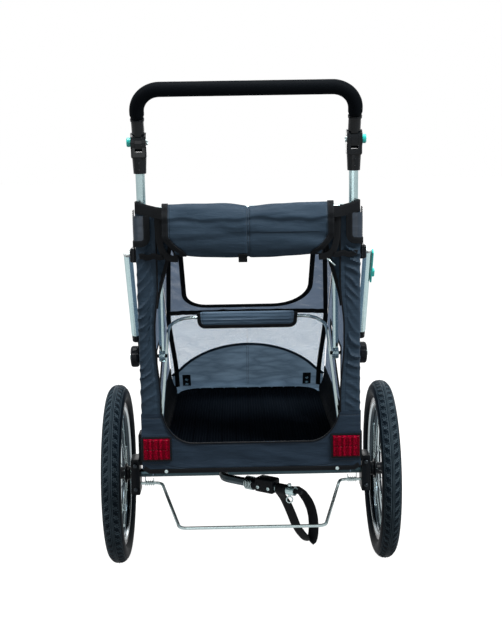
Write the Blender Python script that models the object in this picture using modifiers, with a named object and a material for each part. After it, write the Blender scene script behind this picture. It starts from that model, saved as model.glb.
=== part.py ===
"""Dog bike trailer with a fabric cabin, two spoked wheels, a tilting push handle and a folding upper frame.

Metres, +Z up, +Y is the direction of travel, the ground is Z = 0.
The frame folds about the two side studs: uprights, braces, mid hoop, roof and handle swing forward together,
and the thin front hoop drops with them.
"""
import math

import bmesh
import bpy
from mathutils import Matrix, Vector

# Clearance between pieces that touch or run beside each other
GAP = 0.0003
FIT = 0.0008

# How far cutting solids reach past what they cut
CUT_OVER = 0.0100

# Wheels
WHEEL_DIAMETER = 0.400
TYRE_WIDTH = 0.0425
TYRE_WALL = 0.0045
WHEEL_TRACK = 0.593
TYRE_HEIGHT = 0.0400
RIM_DEPTH = 0.0175
RIM_WIDTH = 0.027
RIM_CHANNEL_DEPTH = 0.0040
RIM_WALL_STEP = 0.0060
HUB_BARREL_RADIUS = 0.0155
HUB_FLANGE_RADIUS = 0.0220
HUB_FLANGE_OFFSET = 0.0150
HUB_FLANGE_THICKNESS = 0.0040
HUB_LENGTH = 0.0500
AXLE_RADIUS = 0.0060
AXLE_CAP_RADIUS = 0.0100
AXLE_CAP_LENGTH = 0.0050
SPOKE_COUNT = 16
SPOKE_RADIUS = 0.0011
SPOKE_SEAT = 0.0040
WHEEL_STEPS = 40

# Chassis
RAIL_RADIUS = 0.0090
RAIL_HEIGHT = 0.2880
RAIL_HALF_WIDTH = 0.2050
REAR_TUBE_BACK = 0.2620
FRONT_TUBE_FORE = 0.4250
FRAME_REAR_CORNER = 0.0350
FRAME_FRONT_CORNER = 0.0700
AXLE_TUBE_RADIUS = 0.0100
BRACKET_INNER = 0.2480
BRACKET_THICKNESS = 0.0200
BRACKET_DEPTH = 0.0560
BRACKET_BELOW_AXLE = 0.0420
BRACKET_ABOVE_AXLE = 0.0400
BRACKET_ARM_OVER_AXLE = 0.0260
BRACKET_ROUND = 0.0040
BRACKET_ARM_ROUND = 0.0030
BRACKET_ARM_LAP = 0.0015
BRACKET_CENTRE_BACK = 0.0100

# Side post and its stud, the fold axis
STUD_HEIGHT = 0.4750
STUD_BACK = 0.0400
STUD_RADIUS = 0.0040
POST_RADIUS = 0.0074
POST_X = 0.2260
POST_EYE_RADIUS = 0.0130
POST_EYE_WIDTH = 0.0160
POST_FOOT_FORE = 0.0030

# Floor
FLOOR_HALF_WIDTH = 0.1860
FLOOR_THICKNESS = 0.0035
FLOOR_REAR_CORNER = 0.0100
MAT_THICKNESS = 0.0070
MAT_MARGIN = 0.0080
MAT_RIB_PITCH = 0.0310
MAT_RIB_DEPTH = 0.0015
MAT_RIB_WIDTH = 0.0040

# Cabin fabric
CABIN_HALF_WIDTH = 0.2200
FABRIC = 0.0030
OPENING_HALF_WIDTH = 0.1780
SILL_TOP = 0.4000
LIP_HEIGHT = 0.3390
LIP_CORNER_X = 0.0500
SILL_BOTTOM = 0.2780
SILL_THICKNESS = 0.0060
SILL_CHAMFER = 0.0120
COLUMN_RETURN = 0.0180
COLUMN_CORNER = 0.0080
WALL_X = 0.2010
WALL_THICKNESS = 0.0036
ROOF_HEIGHT = 0.8080
ROOF_DROP = 0.0160
ROOF_THICKNESS = 0.0036
ROOF_SKIRT = 0.0700
ROOF_FRONT_BACK = 0.0400
ROOF_CORNER = 0.0140
ROOF_INSET = 0.0015
SLOPE_KNEE_FORE = 0.2720
SLOPE_KNEE_HEIGHT = 0.5260
FRONT_PANEL_ARCH = 0.1700
FRONT_PANEL_SIDE = 0.0770
WINDOW_CORNER = 0.0300
FRONT_PANEL_HALF_WIDTH = 0.1680
HATCH_HALF_WIDTH = 0.1480
HATCH_START = 0.0290
HATCH_LENGTH = 0.2600
HATCH_CORNER = 0.0450
SLIT_FORE = 0.2100
SLIT_END_HEIGHT = 0.0120
SLIT_ROUND = 0.0040
SLIT_BACK_MARGIN = 0.0040
SLIT_TOP_MARGIN = 0.0020
FLAP_ROLL_HALF_LENGTH = 0.1200
FLAP_ROLL_HALF_DEPTH = 0.0060
FLAP_ROLL_HALF_HEIGHT = 0.0200
FLAP_ROLL_SAG = 0.0045

# Rolled rear flap
ROLL_HALF_LENGTH = 0.1680
ROLL_HALF_DEPTH = 0.0270
ROLL_HALF_HEIGHT = 0.0570
ROLL_CONTACT_DEG = 43.0
ROLL_ROUND = 0.0080

# Upper frame
UPRIGHT_RADIUS = 0.0090
UPRIGHT_X = 0.2065
UPRIGHT_FOOT_DROP = 0.1130
UPRIGHT_LEAN_DEG = 5.0
REAR_BAR_DROP = 0.0050
MID_HOOP_RADIUS = 0.0065
MID_HOOP_X = 0.1900
MID_HOOP_CORNER = 0.0500
BOSS_RADIUS = 0.0130
BOSS_WIDTH = 0.0130
BRACE_RADIUS = 0.0090
BRACE_X = 0.2435
BRACE_TOP_BACK = 0.1900
BRACE_TOP_DROP = 0.0930
BRACE_FOOT_LENGTH = 0.0660
BRACE_PLATE_LENGTH = 0.0540
BRACE_PLATE_THICKNESS = 0.0056
BRACE_PLUG_START = 0.0480
BRACE_EYE_RADIUS = 0.0150
BRACKET_LINK_HEIGHT = 0.0280
BRACKET_LINK_DROP = 0.0920
BRACKET_LINK_ROUND = 0.0040
LEVER_LENGTH = 0.0780
LEVER_WIDTH = 0.0140
LEVER_THICKNESS = 0.0035
LEVER_PAD = 0.0050
LEVER_PAD_WIDTH = 0.0110
LEVER_PAD_LOW = 0.0640
LEVER_PAD_HIGH = 0.0480
LEVER_TOP = 0.0040
LEVER_ROUND = 0.0010
LEVER_PAD_ROUND = 0.0015

# Side knobs
KNOB_RADIUS = 0.0235
KNOB_THICKNESS = 0.0180
KNOB_ROUND = 0.0050
SCOOP_RADIUS = 0.0085
SCOOP_OFFSET = 0.0060

# Front hoop
FRONT_HOOP_RADIUS = 0.0040
FRONT_HOOP_X = 0.1915
FRONT_HOOP_PIVOT_BACK = 0.2000
FRONT_HOOP_TOP_FORE = 0.2560
FRONT_HOOP_TOP_HEIGHT = 0.5150
FRONT_HOOP_CORNER = 0.0550

# Push handle
PIVOT_BACK = 0.2840
PIVOT_ABOVE_ROOF = 0.1290
HANDLE_LEAN_DEG = 28.0
HANDLE_REACH = 0.1087
GRIP_RADIUS = 0.0140
GRIP_START = 0.0510
GRIP_CORNER = 0.0450
COLLAR_RADIUS = 0.0122
KNUCKLE_RADIUS = 0.0185
KNUCKLE_WIDTH = 0.0134
NECK_HALF_DEPTH = 0.0090
NECK_START = 0.0050
NECK_LAP = 0.0020
SOCKET_WIDTH = 0.0300
SOCKET_BODY_DEPTH = 0.0310
SOCKET_BODY_LENGTH = 0.0300
SOCKET_ROUND = 0.0030
FERRULE_LAP = 0.0060
FERRULE_END = 0.0600
FERRULE_TOP_RADIUS = 0.0143
FERRULE_END_RADIUS = 0.0124
UPRIGHT_SEAT = 0.0330
BUTTON_RADIUS = 0.0090
BUTTON_STAND = 0.0085
BUTTON_TRAVEL = 0.0030
BUTTON_ROUND = 0.0015

# Parking brake bar
BAR_RADIUS = 0.0036
BAR_PIVOT_BACK = 0.0200
BAR_PIVOT_BELOW_AXLE = 0.0190
BAR_SHOULDER_X = 0.2000
BAR_CORNER_X = 0.1500
BAR_LOW_BACK = 0.2480
BAR_LOW_BELOW_AXLE = 0.0480
BAR_BEND = 0.0160
SPRING_WIRE = 0.0011
SPRING_TURNS = 4.5
SPRING_START_X = 0.2180
SPRING_PITCH = 0.0044
SPRING_POINTS_PER_TURN = 10
SPRING_LEG = 0.0130

# Tow arm, stowed under the floor
ARM_RADIUS = 0.0095
ARM_X = -0.0600
ARM_ABOVE_AXLE = 0.0240
ARM_FRONT_INSET = 0.0050
ARM_BEND_BACK = 0.1326
ARM_BEND_RADIUS = 0.0400
ARM_END_ANGLE_DEG = 53.5
ARM_END_RUN = 0.0920
BLOCK_LENGTH = 0.0450
BLOCK_WIDTH = 0.0270
BLOCK_ROUND = 0.0040
COUPLING_LENGTH = 0.0470
COUPLING_BORE = 0.0070
COUPLING_BORE_START = 0.0120
PIN_STATION = 0.0140
PIN_RADIUS = 0.0026
PIN_RING_RADIUS = 0.0065
PIN_RING_WIRE = 0.0013
PIN_STAND_TOP = 0.0030
PIN_STAND_LOW = 0.0050
KEEPER_WALL = 0.0060
KEEPER_LENGTH = 0.0300
KEEPER_ROUND = 0.0030
STRAP_WIDTH = 0.0180
STRAP_THICKNESS = 0.0018
STRAP_STATION = 0.0160
STRAP_SEAT = 0.0001

# Hanging part of the strap, from the forward side of the coupling tube round to its rear side, as offsets
# from the middle of the tube under it
STRAP_HANG = [
    (0.0107, 0.0145, 0.0030), (0.0160, 0.0215, 0.0000), (0.028, 0.024, -0.0050), (0.042, 0.020, -0.0150),
    (0.053, 0.016, -0.0300),
    (0.060, 0.012, -0.0460), (0.064, 0.012, -0.0660), (0.064, 0.012, -0.0860), (0.061, 0.013, -0.1040),
    (0.054, 0.014, -0.1170), (0.044, 0.014, -0.1130), (0.035, 0.013, -0.0990), (0.027, 0.010, -0.0800),
    (0.020, 0.009, -0.0600), (0.013, 0.008, -0.0420), (0.007, 0.007, -0.0280), (0.000, 0.001, -0.0155),
]

# Reflectors
REFLECTOR_X = 0.1900
REFLECTOR_Z = 0.3290
REFLECTOR_WIDTH = 0.0530
REFLECTOR_HEIGHT = 0.0430
REFLECTOR_DEPTH = 0.0070
REFLECTOR_BASE_RIM = 0.0040
REFLECTOR_BASE_DEPTH = 0.0040
REFLECTOR_BASE_ROUND = 0.0015
REFLECTOR_ROUND = 0.0020

# Worked-out sizes
WHEEL_RADIUS = WHEEL_DIAMETER / 2
RIM_OUTER_RADIUS = WHEEL_RADIUS - TYRE_HEIGHT
BRACKET_BOTTOM = WHEEL_RADIUS - BRACKET_BELOW_AXLE
BRACKET_TOP = WHEEL_RADIUS + BRACKET_ABOVE_AXLE
BRACKET_ARM_BOTTOM = WHEEL_RADIUS + BRACKET_ARM_OVER_AXLE
ARM_HEIGHT = WHEEL_RADIUS + ARM_ABOVE_AXLE
ARM_FRONT_FORE = FRONT_TUBE_FORE - ARM_FRONT_INSET
BAR_PIVOT_HEIGHT = WHEEL_RADIUS - BAR_PIVOT_BELOW_AXLE
BAR_LOW_HEIGHT = WHEEL_RADIUS - BAR_LOW_BELOW_AXLE
REAR_BAR_HEIGHT = ROOF_HEIGHT - REAR_BAR_DROP
UPRIGHT_FOOT_HEIGHT = ROOF_HEIGHT - UPRIGHT_FOOT_DROP
BRACE_TOP_HEIGHT = ROOF_HEIGHT - BRACE_TOP_DROP
BRACKET_LINK_Z = ROOF_HEIGHT - BRACKET_LINK_DROP
PIVOT_HEIGHT = ROOF_HEIGHT + PIVOT_ABOVE_ROOF
HANDLE_LEAN = math.radians(HANDLE_LEAN_DEG)
UPRIGHT_LEAN = math.radians(UPRIGHT_LEAN_DEG)
REAR_REACH = PIVOT_BACK + HANDLE_REACH * math.sin(HANDLE_LEAN) + GRIP_RADIUS
FRONT_REACH = FRONT_TUBE_FORE + RAIL_RADIUS
AXLE_Y = (REAR_REACH - FRONT_REACH) / 2
RAIL_TOP = RAIL_HEIGHT + RAIL_RADIUS
FLOOR_BOTTOM = RAIL_TOP + GAP
FLOOR_TOP = FLOOR_BOTTOM + FLOOR_THICKNESS
MAT_BOTTOM = FLOOR_TOP + GAP
MAT_TOP = MAT_BOTTOM + MAT_THICKNESS
WALL_BOTTOM = RAIL_TOP + FIT
WALL_TOP = ROOF_HEIGHT - FIT
COLUMN_TOP = REAR_BAR_HEIGHT + UPRIGHT_RADIUS
WALL_BACK = REAR_TUBE_BACK - RAIL_RADIUS - FIT
SILL_FRONT = REAR_TUBE_BACK + RAIL_RADIUS + GAP
SILL_BACK = SILL_FRONT + SILL_THICKNESS
HOOP_TOP_HEIGHT = ROOF_HEIGHT - ROOF_DROP - GAP - MID_HOOP_RADIUS
BRACE_INNER = BRACE_X - BRACE_RADIUS
BRACE_OUTER = BRACE_X + BRACE_RADIUS
STUD_INNER = MID_HOOP_X - BOSS_WIDTH / 2 - 0.0050
BRACE_PLATE_INNER = POST_X + POST_EYE_WIDTH / 2 + GAP
STUD_OUTER = BRACE_PLATE_INNER + BRACE_PLATE_THICKNESS
SIDES = (("left", -1.0), ("right", 1.0))


def at(x, fore, z):
    """World point of a place given by its distance in front of the wheel axle."""
    return Vector((x, fore + AXLE_Y, z))


def upright_fore(height):
    """Distance in front of the axle of the upright's centre line at a height."""
    return -PIVOT_BACK + (PIVOT_HEIGHT - height) * math.tan(UPRIGHT_LEAN)


# Materials and scene set-up
MODEL = bpy.data.collections.new("dog_bike_trailer")


def material(name, color, roughness, metallic=0.0):
    """Principled material with a plain colour."""
    mat = bpy.data.materials.get(name)
    if mat is None:
        mat = bpy.data.materials.new(name)
        mat.use_nodes = True
        shader = mat.node_tree.nodes["Principled BSDF"]
        shader.inputs["Base Color"].default_value = (*color, 1.0)
        shader.inputs["Roughness"].default_value = roughness
        shader.inputs["Metallic"].default_value = metallic
        mat.diffuse_color = (*color, 1.0)
    return mat


FINISHES = {
    "aluminium_tube": ((0.62, 0.64, 0.66), 0.35, 1.0),
    "steel": ((0.60, 0.62, 0.64), 0.30, 1.0),
    "slate_fabric": ((0.060, 0.075, 0.095), 0.75),
    "black_fabric": ((0.012, 0.012, 0.014), 0.80),
    "mesh_fabric": ((0.38, 0.42, 0.50), 0.70),
    "black_plastic": ((0.015, 0.015, 0.017), 0.40),
    "foam": ((0.012, 0.012, 0.012), 0.85),
    "teal_plastic": ((0.000, 0.32, 0.42), 0.35),
    "tyre": ((0.020, 0.022, 0.025), 0.65),
    "red_lens": ((0.45, 0.004, 0.012), 0.15),
}


def finish(obj, finish_name, smooth=True):
    """Give an object its material and shading and put it in the model's collection."""
    obj.data.materials.clear()
    obj.data.materials.append(material(finish_name, *FINISHES[finish_name]))
    if smooth:
        obj.data.shade_smooth()
        obj.data.set_sharp_from_angle(angle=math.radians(40))
    for collection in list(obj.users_collection):
        collection.objects.unlink(obj)
    MODEL.objects.link(obj)
    return obj


def mesh_object(name, bm):
    """New object from a bmesh."""
    mesh = bpy.data.meshes.new(name)
    bm.to_mesh(mesh)
    bm.free()
    obj = bpy.data.objects.new(name, mesh)
    bpy.context.scene.collection.objects.link(obj)
    return obj


def bake(obj, weld=0.00002):
    """Turn an object and its modifiers into a plain welded mesh in world space."""
    bpy.context.view_layer.update()
    depsgraph = bpy.context.evaluated_depsgraph_get()
    mesh = bpy.data.meshes.new_from_object(obj.evaluated_get(depsgraph))
    mesh.transform(obj.matrix_world)
    name = obj.name
    bpy.data.objects.remove(obj)
    bm = bmesh.new()
    bm.from_mesh(mesh)
    bmesh.ops.remove_doubles(bm, verts=bm.verts, dist=weld)
    bm.to_mesh(mesh)
    bm.free()
    baked = bpy.data.objects.new(name, mesh)
    bpy.context.scene.collection.objects.link(baked)
    return baked


def box(name, low, high, bevel=0.0, segments=2):
    """Box between two corners, its edges rounded by a bevel."""
    bm = bmesh.new()
    bmesh.ops.create_cube(bm, size=1.0)
    size = Vector(high) - Vector(low)
    middle = (Vector(high) + Vector(low)) / 2
    bmesh.ops.scale(bm, vec=size, verts=bm.verts)
    bmesh.ops.translate(bm, vec=middle, verts=bm.verts)
    obj = mesh_object(name, bm)
    if bevel > 0.0:
        modifier = obj.modifiers.new("round", "BEVEL")
        modifier.width = bevel
        modifier.segments = segments
        modifier.limit_method = "ANGLE"
        obj = bake(obj)
    return obj


def rod(name, start, end, radius, sides=12, end_radius=None):
    """Round bar or cone between two points."""
    start, end = Vector(start), Vector(end)
    run = end - start
    bm = bmesh.new()
    bmesh.ops.create_cone(
        bm, cap_ends=True, segments=sides, radius1=radius,
        radius2=radius if end_radius is None else end_radius, depth=run.length)
    turn = run.to_track_quat("Z", "X").to_matrix().to_4x4()
    bmesh.ops.transform(bm, matrix=Matrix.Translation((start + end) / 2) @ turn, verts=bm.verts)
    return mesh_object(name, bm)


def rounded_path(corners, radii, steps=5, closed=False):
    """Points of a path whose corners are arcs of the given radii."""
    points = []
    count = len(corners)
    for index, corner in enumerate(corners):
        radius = radii[index] if isinstance(radii, (list, tuple)) else radii
        is_end = not closed and index in (0, count - 1)
        if is_end or radius <= 0.0:
            points.append(Vector(corner))
            continue
        here = Vector(corner)
        back = (Vector(corners[index - 1]) - here).normalized()
        ahead = (Vector(corners[(index + 1) % count]) - here).normalized()
        half = back.angle(ahead) / 2
        setback = radius / math.tan(half)
        centre = here + (back + ahead).normalized() * (radius / math.sin(half))
        first = here + back * setback - centre
        last = here + ahead * setback - centre
        sweep = first.angle(last)
        for step in range(steps + 1):
            share = step / steps
            points.append(centre + (first * math.sin((1 - share) * sweep)
                                    + last * math.sin(share * sweep)) / math.sin(sweep))
    return points


def tube(name, points, radius, closed=False, resolution=2):
    """Round tube along a path."""
    data = bpy.data.curves.new(name, "CURVE")
    data.dimensions = "3D"
    data.bevel_depth = radius
    data.bevel_resolution = resolution
    data.use_fill_caps = True
    data.twist_mode = "MINIMUM"
    spline = data.splines.new("POLY")
    spline.points.add(len(points) - 1)
    for index, point in enumerate(points):
        spline.points[index].co = (*point, 1.0)
    spline.use_cyclic_u = closed
    obj = bpy.data.objects.new(name, data)
    bpy.context.scene.collection.objects.link(obj)
    return bake(obj)


def plate(name, outlines, thickness, place):
    """Flat plate of one outline with holes, centred on its plane, put in place by a matrix."""
    data = bpy.data.curves.new(name, "CURVE")
    data.dimensions = "2D"
    data.fill_mode = "BOTH"
    data.extrude = thickness / 2
    for outline in outlines:
        spline = data.splines.new("POLY")
        spline.points.add(len(outline) - 1)
        for index, point in enumerate(outline):
            spline.points[index].co = (point[0], point[1], 0.0, 1.0)
        spline.use_cyclic_u = True
    obj = bpy.data.objects.new(name, data)
    bpy.context.scene.collection.objects.link(obj)
    obj = bake(obj)
    obj.data.transform(place)
    return obj


def lathe(name, profile, steps, place):
    """Closed profile of (radius, height) points turned round the local Z axis."""
    bm = bmesh.new()
    ring = [bm.verts.new((radius, 0.0, height)) for radius, height in profile]
    for first, second in zip(ring, ring[1:] + ring[:1]):
        bm.edges.new((first, second))
    obj = mesh_object(name, bm)
    screw = obj.modifiers.new("turn", "SCREW")
    screw.axis = "Z"
    screw.angle = math.tau
    screw.steps = steps
    screw.render_steps = steps
    screw.use_merge_vertices = True
    screw.merge_threshold = 0.00005
    obj.matrix_world = place
    return bake(obj)


def combine(base, tool, operation):
    """Exact boolean of two objects; the tool is used up."""
    modifier = base.modifiers.new(operation.lower(), "BOOLEAN")
    modifier.operation = operation
    modifier.object = tool
    result = bake(base)
    bpy.data.objects.remove(tool)
    return result


def join(base, *tools):
    """Union of a base with further solids."""
    for tool in tools:
        base = combine(base, tool, "UNION")
    return base


def cut(base, *tools):
    """A base with further solids cut out of it."""
    for tool in tools:
        base = combine(base, tool, "DIFFERENCE")
    return base


def side_name(stem, side):
    """Node name of a left or right piece."""
    return f"{stem}_{side}"


def frame_matrix(origin, x_axis, y_axis):
    """Matrix that puts a flat drawing's X and Y along two directions from an origin."""
    x_axis, y_axis = Vector(x_axis).normalized(), Vector(y_axis).normalized()
    z_axis = x_axis.cross(y_axis)
    turn = Matrix((x_axis, y_axis, z_axis)).transposed().to_4x4()
    return Matrix.Translation(origin) @ turn


# Chassis
def build_base_frame():
    """Tube loop under the floor, with wide front corners."""
    corners = [at(-RAIL_HALF_WIDTH, -REAR_TUBE_BACK, RAIL_HEIGHT),
               at(RAIL_HALF_WIDTH, -REAR_TUBE_BACK, RAIL_HEIGHT),
               at(RAIL_HALF_WIDTH, FRONT_TUBE_FORE, RAIL_HEIGHT),
               at(-RAIL_HALF_WIDTH, FRONT_TUBE_FORE, RAIL_HEIGHT)]
    radii = [FRAME_REAR_CORNER, FRAME_REAR_CORNER, FRAME_FRONT_CORNER, FRAME_FRONT_CORNER]
    path = rounded_path(corners, radii, steps=6, closed=True)
    return finish(tube("base_frame", path, RAIL_RADIUS, closed=True), "aluminium_tube")


def build_axle_tube():
    """Straight cross tube between the two wheel brackets."""
    end = BRACKET_INNER - GAP
    obj = rod("axle_tube", at(-end, 0, WHEEL_RADIUS), at(end, 0, WHEEL_RADIUS), AXLE_TUBE_RADIUS, 14)
    return finish(obj, "aluminium_tube")


def build_axle_bracket(side, sign):
    """Black block that ties the wheel axle to the base rail, with an inner arm under the side post."""
    fore_low = -BRACKET_CENTRE_BACK - BRACKET_DEPTH / 2
    fore_high = -BRACKET_CENTRE_BACK + BRACKET_DEPTH / 2
    outer = BRACKET_INNER + BRACKET_THICKNESS
    inner = RAIL_HALF_WIDTH + RAIL_RADIUS + GAP
    xs = sorted((sign * BRACKET_INNER, sign * outer))
    arm = sorted((sign * inner, sign * (BRACKET_INNER + BRACKET_ARM_LAP)))
    block = box(side_name("axle_bracket", side), at(xs[0], fore_low, BRACKET_BOTTOM),
                at(xs[1], fore_high, BRACKET_TOP), BRACKET_ROUND)
    shelf = box("arm", at(arm[0], fore_low + BRACKET_ROUND, BRACKET_ARM_BOTTOM),
                at(arm[1], fore_high - BRACKET_ROUND, RAIL_TOP), BRACKET_ARM_ROUND)
    return finish(join(block, shelf), "black_plastic")


def build_side_post(side, sign):
    """Post from the bracket up to the fold stud."""
    eye = rod(side_name("side_post", side), at(sign * (POST_X - POST_EYE_WIDTH / 2), -STUD_BACK, STUD_HEIGHT),
              at(sign * (POST_X + POST_EYE_WIDTH / 2), -STUD_BACK, STUD_HEIGHT), POST_EYE_RADIUS, 16)
    fore = -STUD_BACK
    post = rod("post", at(sign * POST_X, fore + POST_FOOT_FORE, RAIL_TOP + GAP),
               at(sign * POST_X, fore, STUD_HEIGHT), POST_RADIUS, 10)
    stud = rod("stud", at(sign * STUD_INNER, -STUD_BACK, STUD_HEIGHT),
               at(sign * STUD_OUTER, -STUD_BACK, STUD_HEIGHT), STUD_RADIUS, 10)
    return finish(join(eye, post, stud), "black_plastic")


def floor_outline(half_width, back, fore, corner):
    """Floor plan with rounded front corners, in plate coordinates (X, forward)."""
    corners = [Vector((-half_width, -back)), Vector((half_width, -back)),
               Vector((half_width, fore)), Vector((-half_width, fore))]
    return rounded_path(corners, [FLOOR_REAR_CORNER, FLOOR_REAR_CORNER, corner, corner], steps=6, closed=True)


def build_floor():
    """Floor panel on the cross tubes and the ribbed mat on it."""
    corner = FRAME_FRONT_CORNER - RAIL_RADIUS
    fore = FRONT_TUBE_FORE - 2 * RAIL_RADIUS
    outline = floor_outline(FLOOR_HALF_WIDTH, REAR_TUBE_BACK, fore, corner)
    place = frame_matrix(at(0, 0, FLOOR_BOTTOM + FLOOR_THICKNESS / 2), (1, 0, 0), (0, 1, 0))
    finish(plate("floor_panel", [outline], FLOOR_THICKNESS, place), "black_fabric")
    half_width = FLOOR_HALF_WIDTH - MAT_MARGIN
    back = REAR_TUBE_BACK - MAT_MARGIN
    fore = fore - MAT_MARGIN
    outline = floor_outline(half_width, back, fore, corner)
    place = frame_matrix(at(0, 0, MAT_BOTTOM + MAT_THICKNESS / 2), (1, 0, 0), (0, 1, 0))
    mat = plate("floor_mat", [outline], MAT_THICKNESS, place)
    count = int((half_width - MAT_MARGIN) / MAT_RIB_PITCH)
    for index in range(-count, count + 1):
        x = index * MAT_RIB_PITCH
        groove = box("groove", at(x - MAT_RIB_WIDTH / 2, -back - CUT_OVER, MAT_TOP - MAT_RIB_DEPTH),
                     at(x + MAT_RIB_WIDTH / 2, fore + CUT_OVER, MAT_TOP + CUT_OVER))
        mat = cut(mat, groove)
    finish(mat, "black_fabric", smooth=False)


def build_rear_sill():
    """Lower rear panel with the rounded bottom of the doorway."""
    lip = LIP_HEIGHT
    corner_low = OPENING_HALF_WIDTH - LIP_CORNER_X
    rise = SILL_TOP - lip
    arc = [Vector((corner_low + LIP_CORNER_X * math.sin(angle), lip + rise * (1 - math.cos(angle))))
           for angle in [step * math.pi / 12 for step in range(7)]]
    right = [Vector((CABIN_HALF_WIDTH - SILL_CHAMFER, SILL_BOTTOM)),
             Vector((CABIN_HALF_WIDTH, SILL_BOTTOM + SILL_CHAMFER)),
             Vector((CABIN_HALF_WIDTH, SILL_TOP))] + arc[::-1]
    left = [Vector((-point.x, point.y)) for point in right[::-1]]
    place = frame_matrix(at(0, -(SILL_FRONT + SILL_BACK) / 2, 0), (1, 0, 0), (0, 0, 1))
    finish(plate("rear_sill", [right + left], SILL_THICKNESS, place), "slate_fabric")


def build_reflector(side, sign):
    """Ribbed red lens on its black base, on the lower corner of the sill."""
    back = SILL_BACK + GAP
    half_x, half_z = REFLECTOR_WIDTH / 2, REFLECTOR_HEIGHT / 2
    rim = REFLECTOR_BASE_RIM
    base = box(side_name("reflector_base", side),
               at(sign * REFLECTOR_X - half_x - rim, -back - REFLECTOR_BASE_DEPTH,
                  REFLECTOR_Z - half_z - rim),
               at(sign * REFLECTOR_X + half_x + rim, -back, REFLECTOR_Z + half_z + rim),
               REFLECTOR_BASE_ROUND, 1)
    finish(base, "black_plastic")
    front = back + REFLECTOR_BASE_DEPTH + GAP
    lens = box(side_name("reflector", side),
               at(sign * REFLECTOR_X - half_x, -front - REFLECTOR_DEPTH, REFLECTOR_Z - half_z),
               at(sign * REFLECTOR_X + half_x, -front, REFLECTOR_Z + half_z), REFLECTOR_ROUND)
    finish(lens, "red_lens")


# Wheels
def wheel_place(sign):
    """Matrix that puts a turned wheel part on the axle, its Z outwards."""
    return frame_matrix(at(sign * WHEEL_TRACK / 2, 0, WHEEL_RADIUS), (0, 1, 0), (0, 0, sign))


def build_tyre(side, sign):
    """Open C-section tyre that sits round the rim."""
    section = TYRE_WIDTH / 2
    centre = WHEEL_RADIUS - section
    seat = RIM_OUTER_RADIUS + GAP
    spread = math.acos(max(-0.95, (seat - centre) / section))
    outer = [(centre + section * math.cos(angle), section * math.sin(angle))
             for angle in [spread * (1 - step / 5) for step in range(11)]]
    inner_section = section - TYRE_WALL
    inner = [(centre + inner_section * math.cos(angle), inner_section * math.sin(angle))
             for angle in [spread * (-1 + step / 3) for step in range(7)]]
    obj = lathe(side_name("tyre", side), outer + inner, WHEEL_STEPS, wheel_place(sign))
    return finish(obj, "tyre")


def build_rim(side, sign):
    """Box-section rim with a shallow channel for the tyre."""
    half = RIM_WIDTH / 2
    top, bottom = RIM_OUTER_RADIUS, RIM_OUTER_RADIUS - RIM_DEPTH
    channel, wall = top - RIM_CHANNEL_DEPTH, bottom + RIM_WALL_STEP
    profile = [(channel, half * 0.55), (top, half * 0.7), (top, half), (wall, half * 0.9),
               (bottom, half * 0.4), (bottom, -half * 0.4), (wall, -half * 0.9), (top, -half),
               (top, -half * 0.7), (channel, -half * 0.55)]
    obj = lathe(side_name("rim", side), profile[::-1], WHEEL_STEPS, wheel_place(sign))
    return finish(obj, "aluminium_tube")


def build_hub(side, sign):
    """Flanged hub with its spokes, bored for the axle."""
    half = HUB_LENGTH / 2
    flange_in = HUB_FLANGE_OFFSET - HUB_FLANGE_THICKNESS / 2
    flange_out = HUB_FLANGE_OFFSET + HUB_FLANGE_THICKNESS / 2
    bore = AXLE_RADIUS + GAP
    steps = [(HUB_BARREL_RADIUS, half), (HUB_BARREL_RADIUS, flange_out), (HUB_FLANGE_RADIUS, flange_out),
             (HUB_FLANGE_RADIUS, flange_in), (HUB_BARREL_RADIUS, flange_in)]
    profile = steps + [(radius, -height) for radius, height in steps[::-1]] + [(bore, -half), (bore, half)]
    place = wheel_place(sign)
    hub = lathe(side_name("hub", side), profile, 20, place)
    root = HUB_FLANGE_RADIUS - SPOKE_SEAT
    tip = RIM_OUTER_RADIUS - RIM_DEPTH - GAP - SPOKE_RADIUS * 0.5
    for index in range(SPOKE_COUNT):
        angle = math.tau * (index + 0.5) / SPOKE_COUNT
        offset = HUB_FLANGE_OFFSET if index % 2 == 0 else -HUB_FLANGE_OFFSET
        direction = Vector((math.cos(angle), math.sin(angle), 0))
        start = place @ (direction * root + Vector((0, 0, offset)))
        end = place @ (direction * tip + Vector((0, 0, offset * 0.15)))
        hub = join(hub, rod("spoke", start, end, SPOKE_RADIUS, 5))
    return finish(hub, "black_plastic")


def build_wheel_axle(side, sign):
    """Axle stub on the bracket's outer face, with the cap that keeps the hub on."""
    start = BRACKET_INNER + BRACKET_THICKNESS + GAP
    hub_end = WHEEL_TRACK / 2 + HUB_LENGTH / 2
    stub = rod(side_name("wheel_axle", side), at(sign * start, 0, WHEEL_RADIUS),
               at(sign * (hub_end + GAP + AXLE_CAP_LENGTH / 2), 0, WHEEL_RADIUS), AXLE_RADIUS, 14)
    cap = rod("cap", at(sign * (hub_end + GAP), 0, WHEEL_RADIUS),
              at(sign * (hub_end + GAP + AXLE_CAP_LENGTH), 0, WHEEL_RADIUS), AXLE_CAP_RADIUS, 16)
    return finish(join(stub, cap), "steel")


# Upper frame
def build_upright_frame():
    """Two uprights and the bar under the roof's rear edge."""
    top = pivot_point(1.0) - upright_axis() * (UPRIGHT_SEAT + GAP)
    foot_fore = upright_fore(UPRIGHT_FOOT_HEIGHT)
    parts = []
    for sign in (-1.0, 1.0):
        parts.append(rod("upright_frame", at(sign * UPRIGHT_X, foot_fore, UPRIGHT_FOOT_HEIGHT),
                         (sign * UPRIGHT_X, top.y, top.z), UPRIGHT_RADIUS, 12))
    fore = upright_fore(REAR_BAR_HEIGHT)
    bar = rod("bar", at(-UPRIGHT_X, fore, REAR_BAR_HEIGHT), at(UPRIGHT_X, fore, REAR_BAR_HEIGHT),
              UPRIGHT_RADIUS, 12)
    return finish(join(parts[0], bar, parts[1]), "aluminium_tube")


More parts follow.
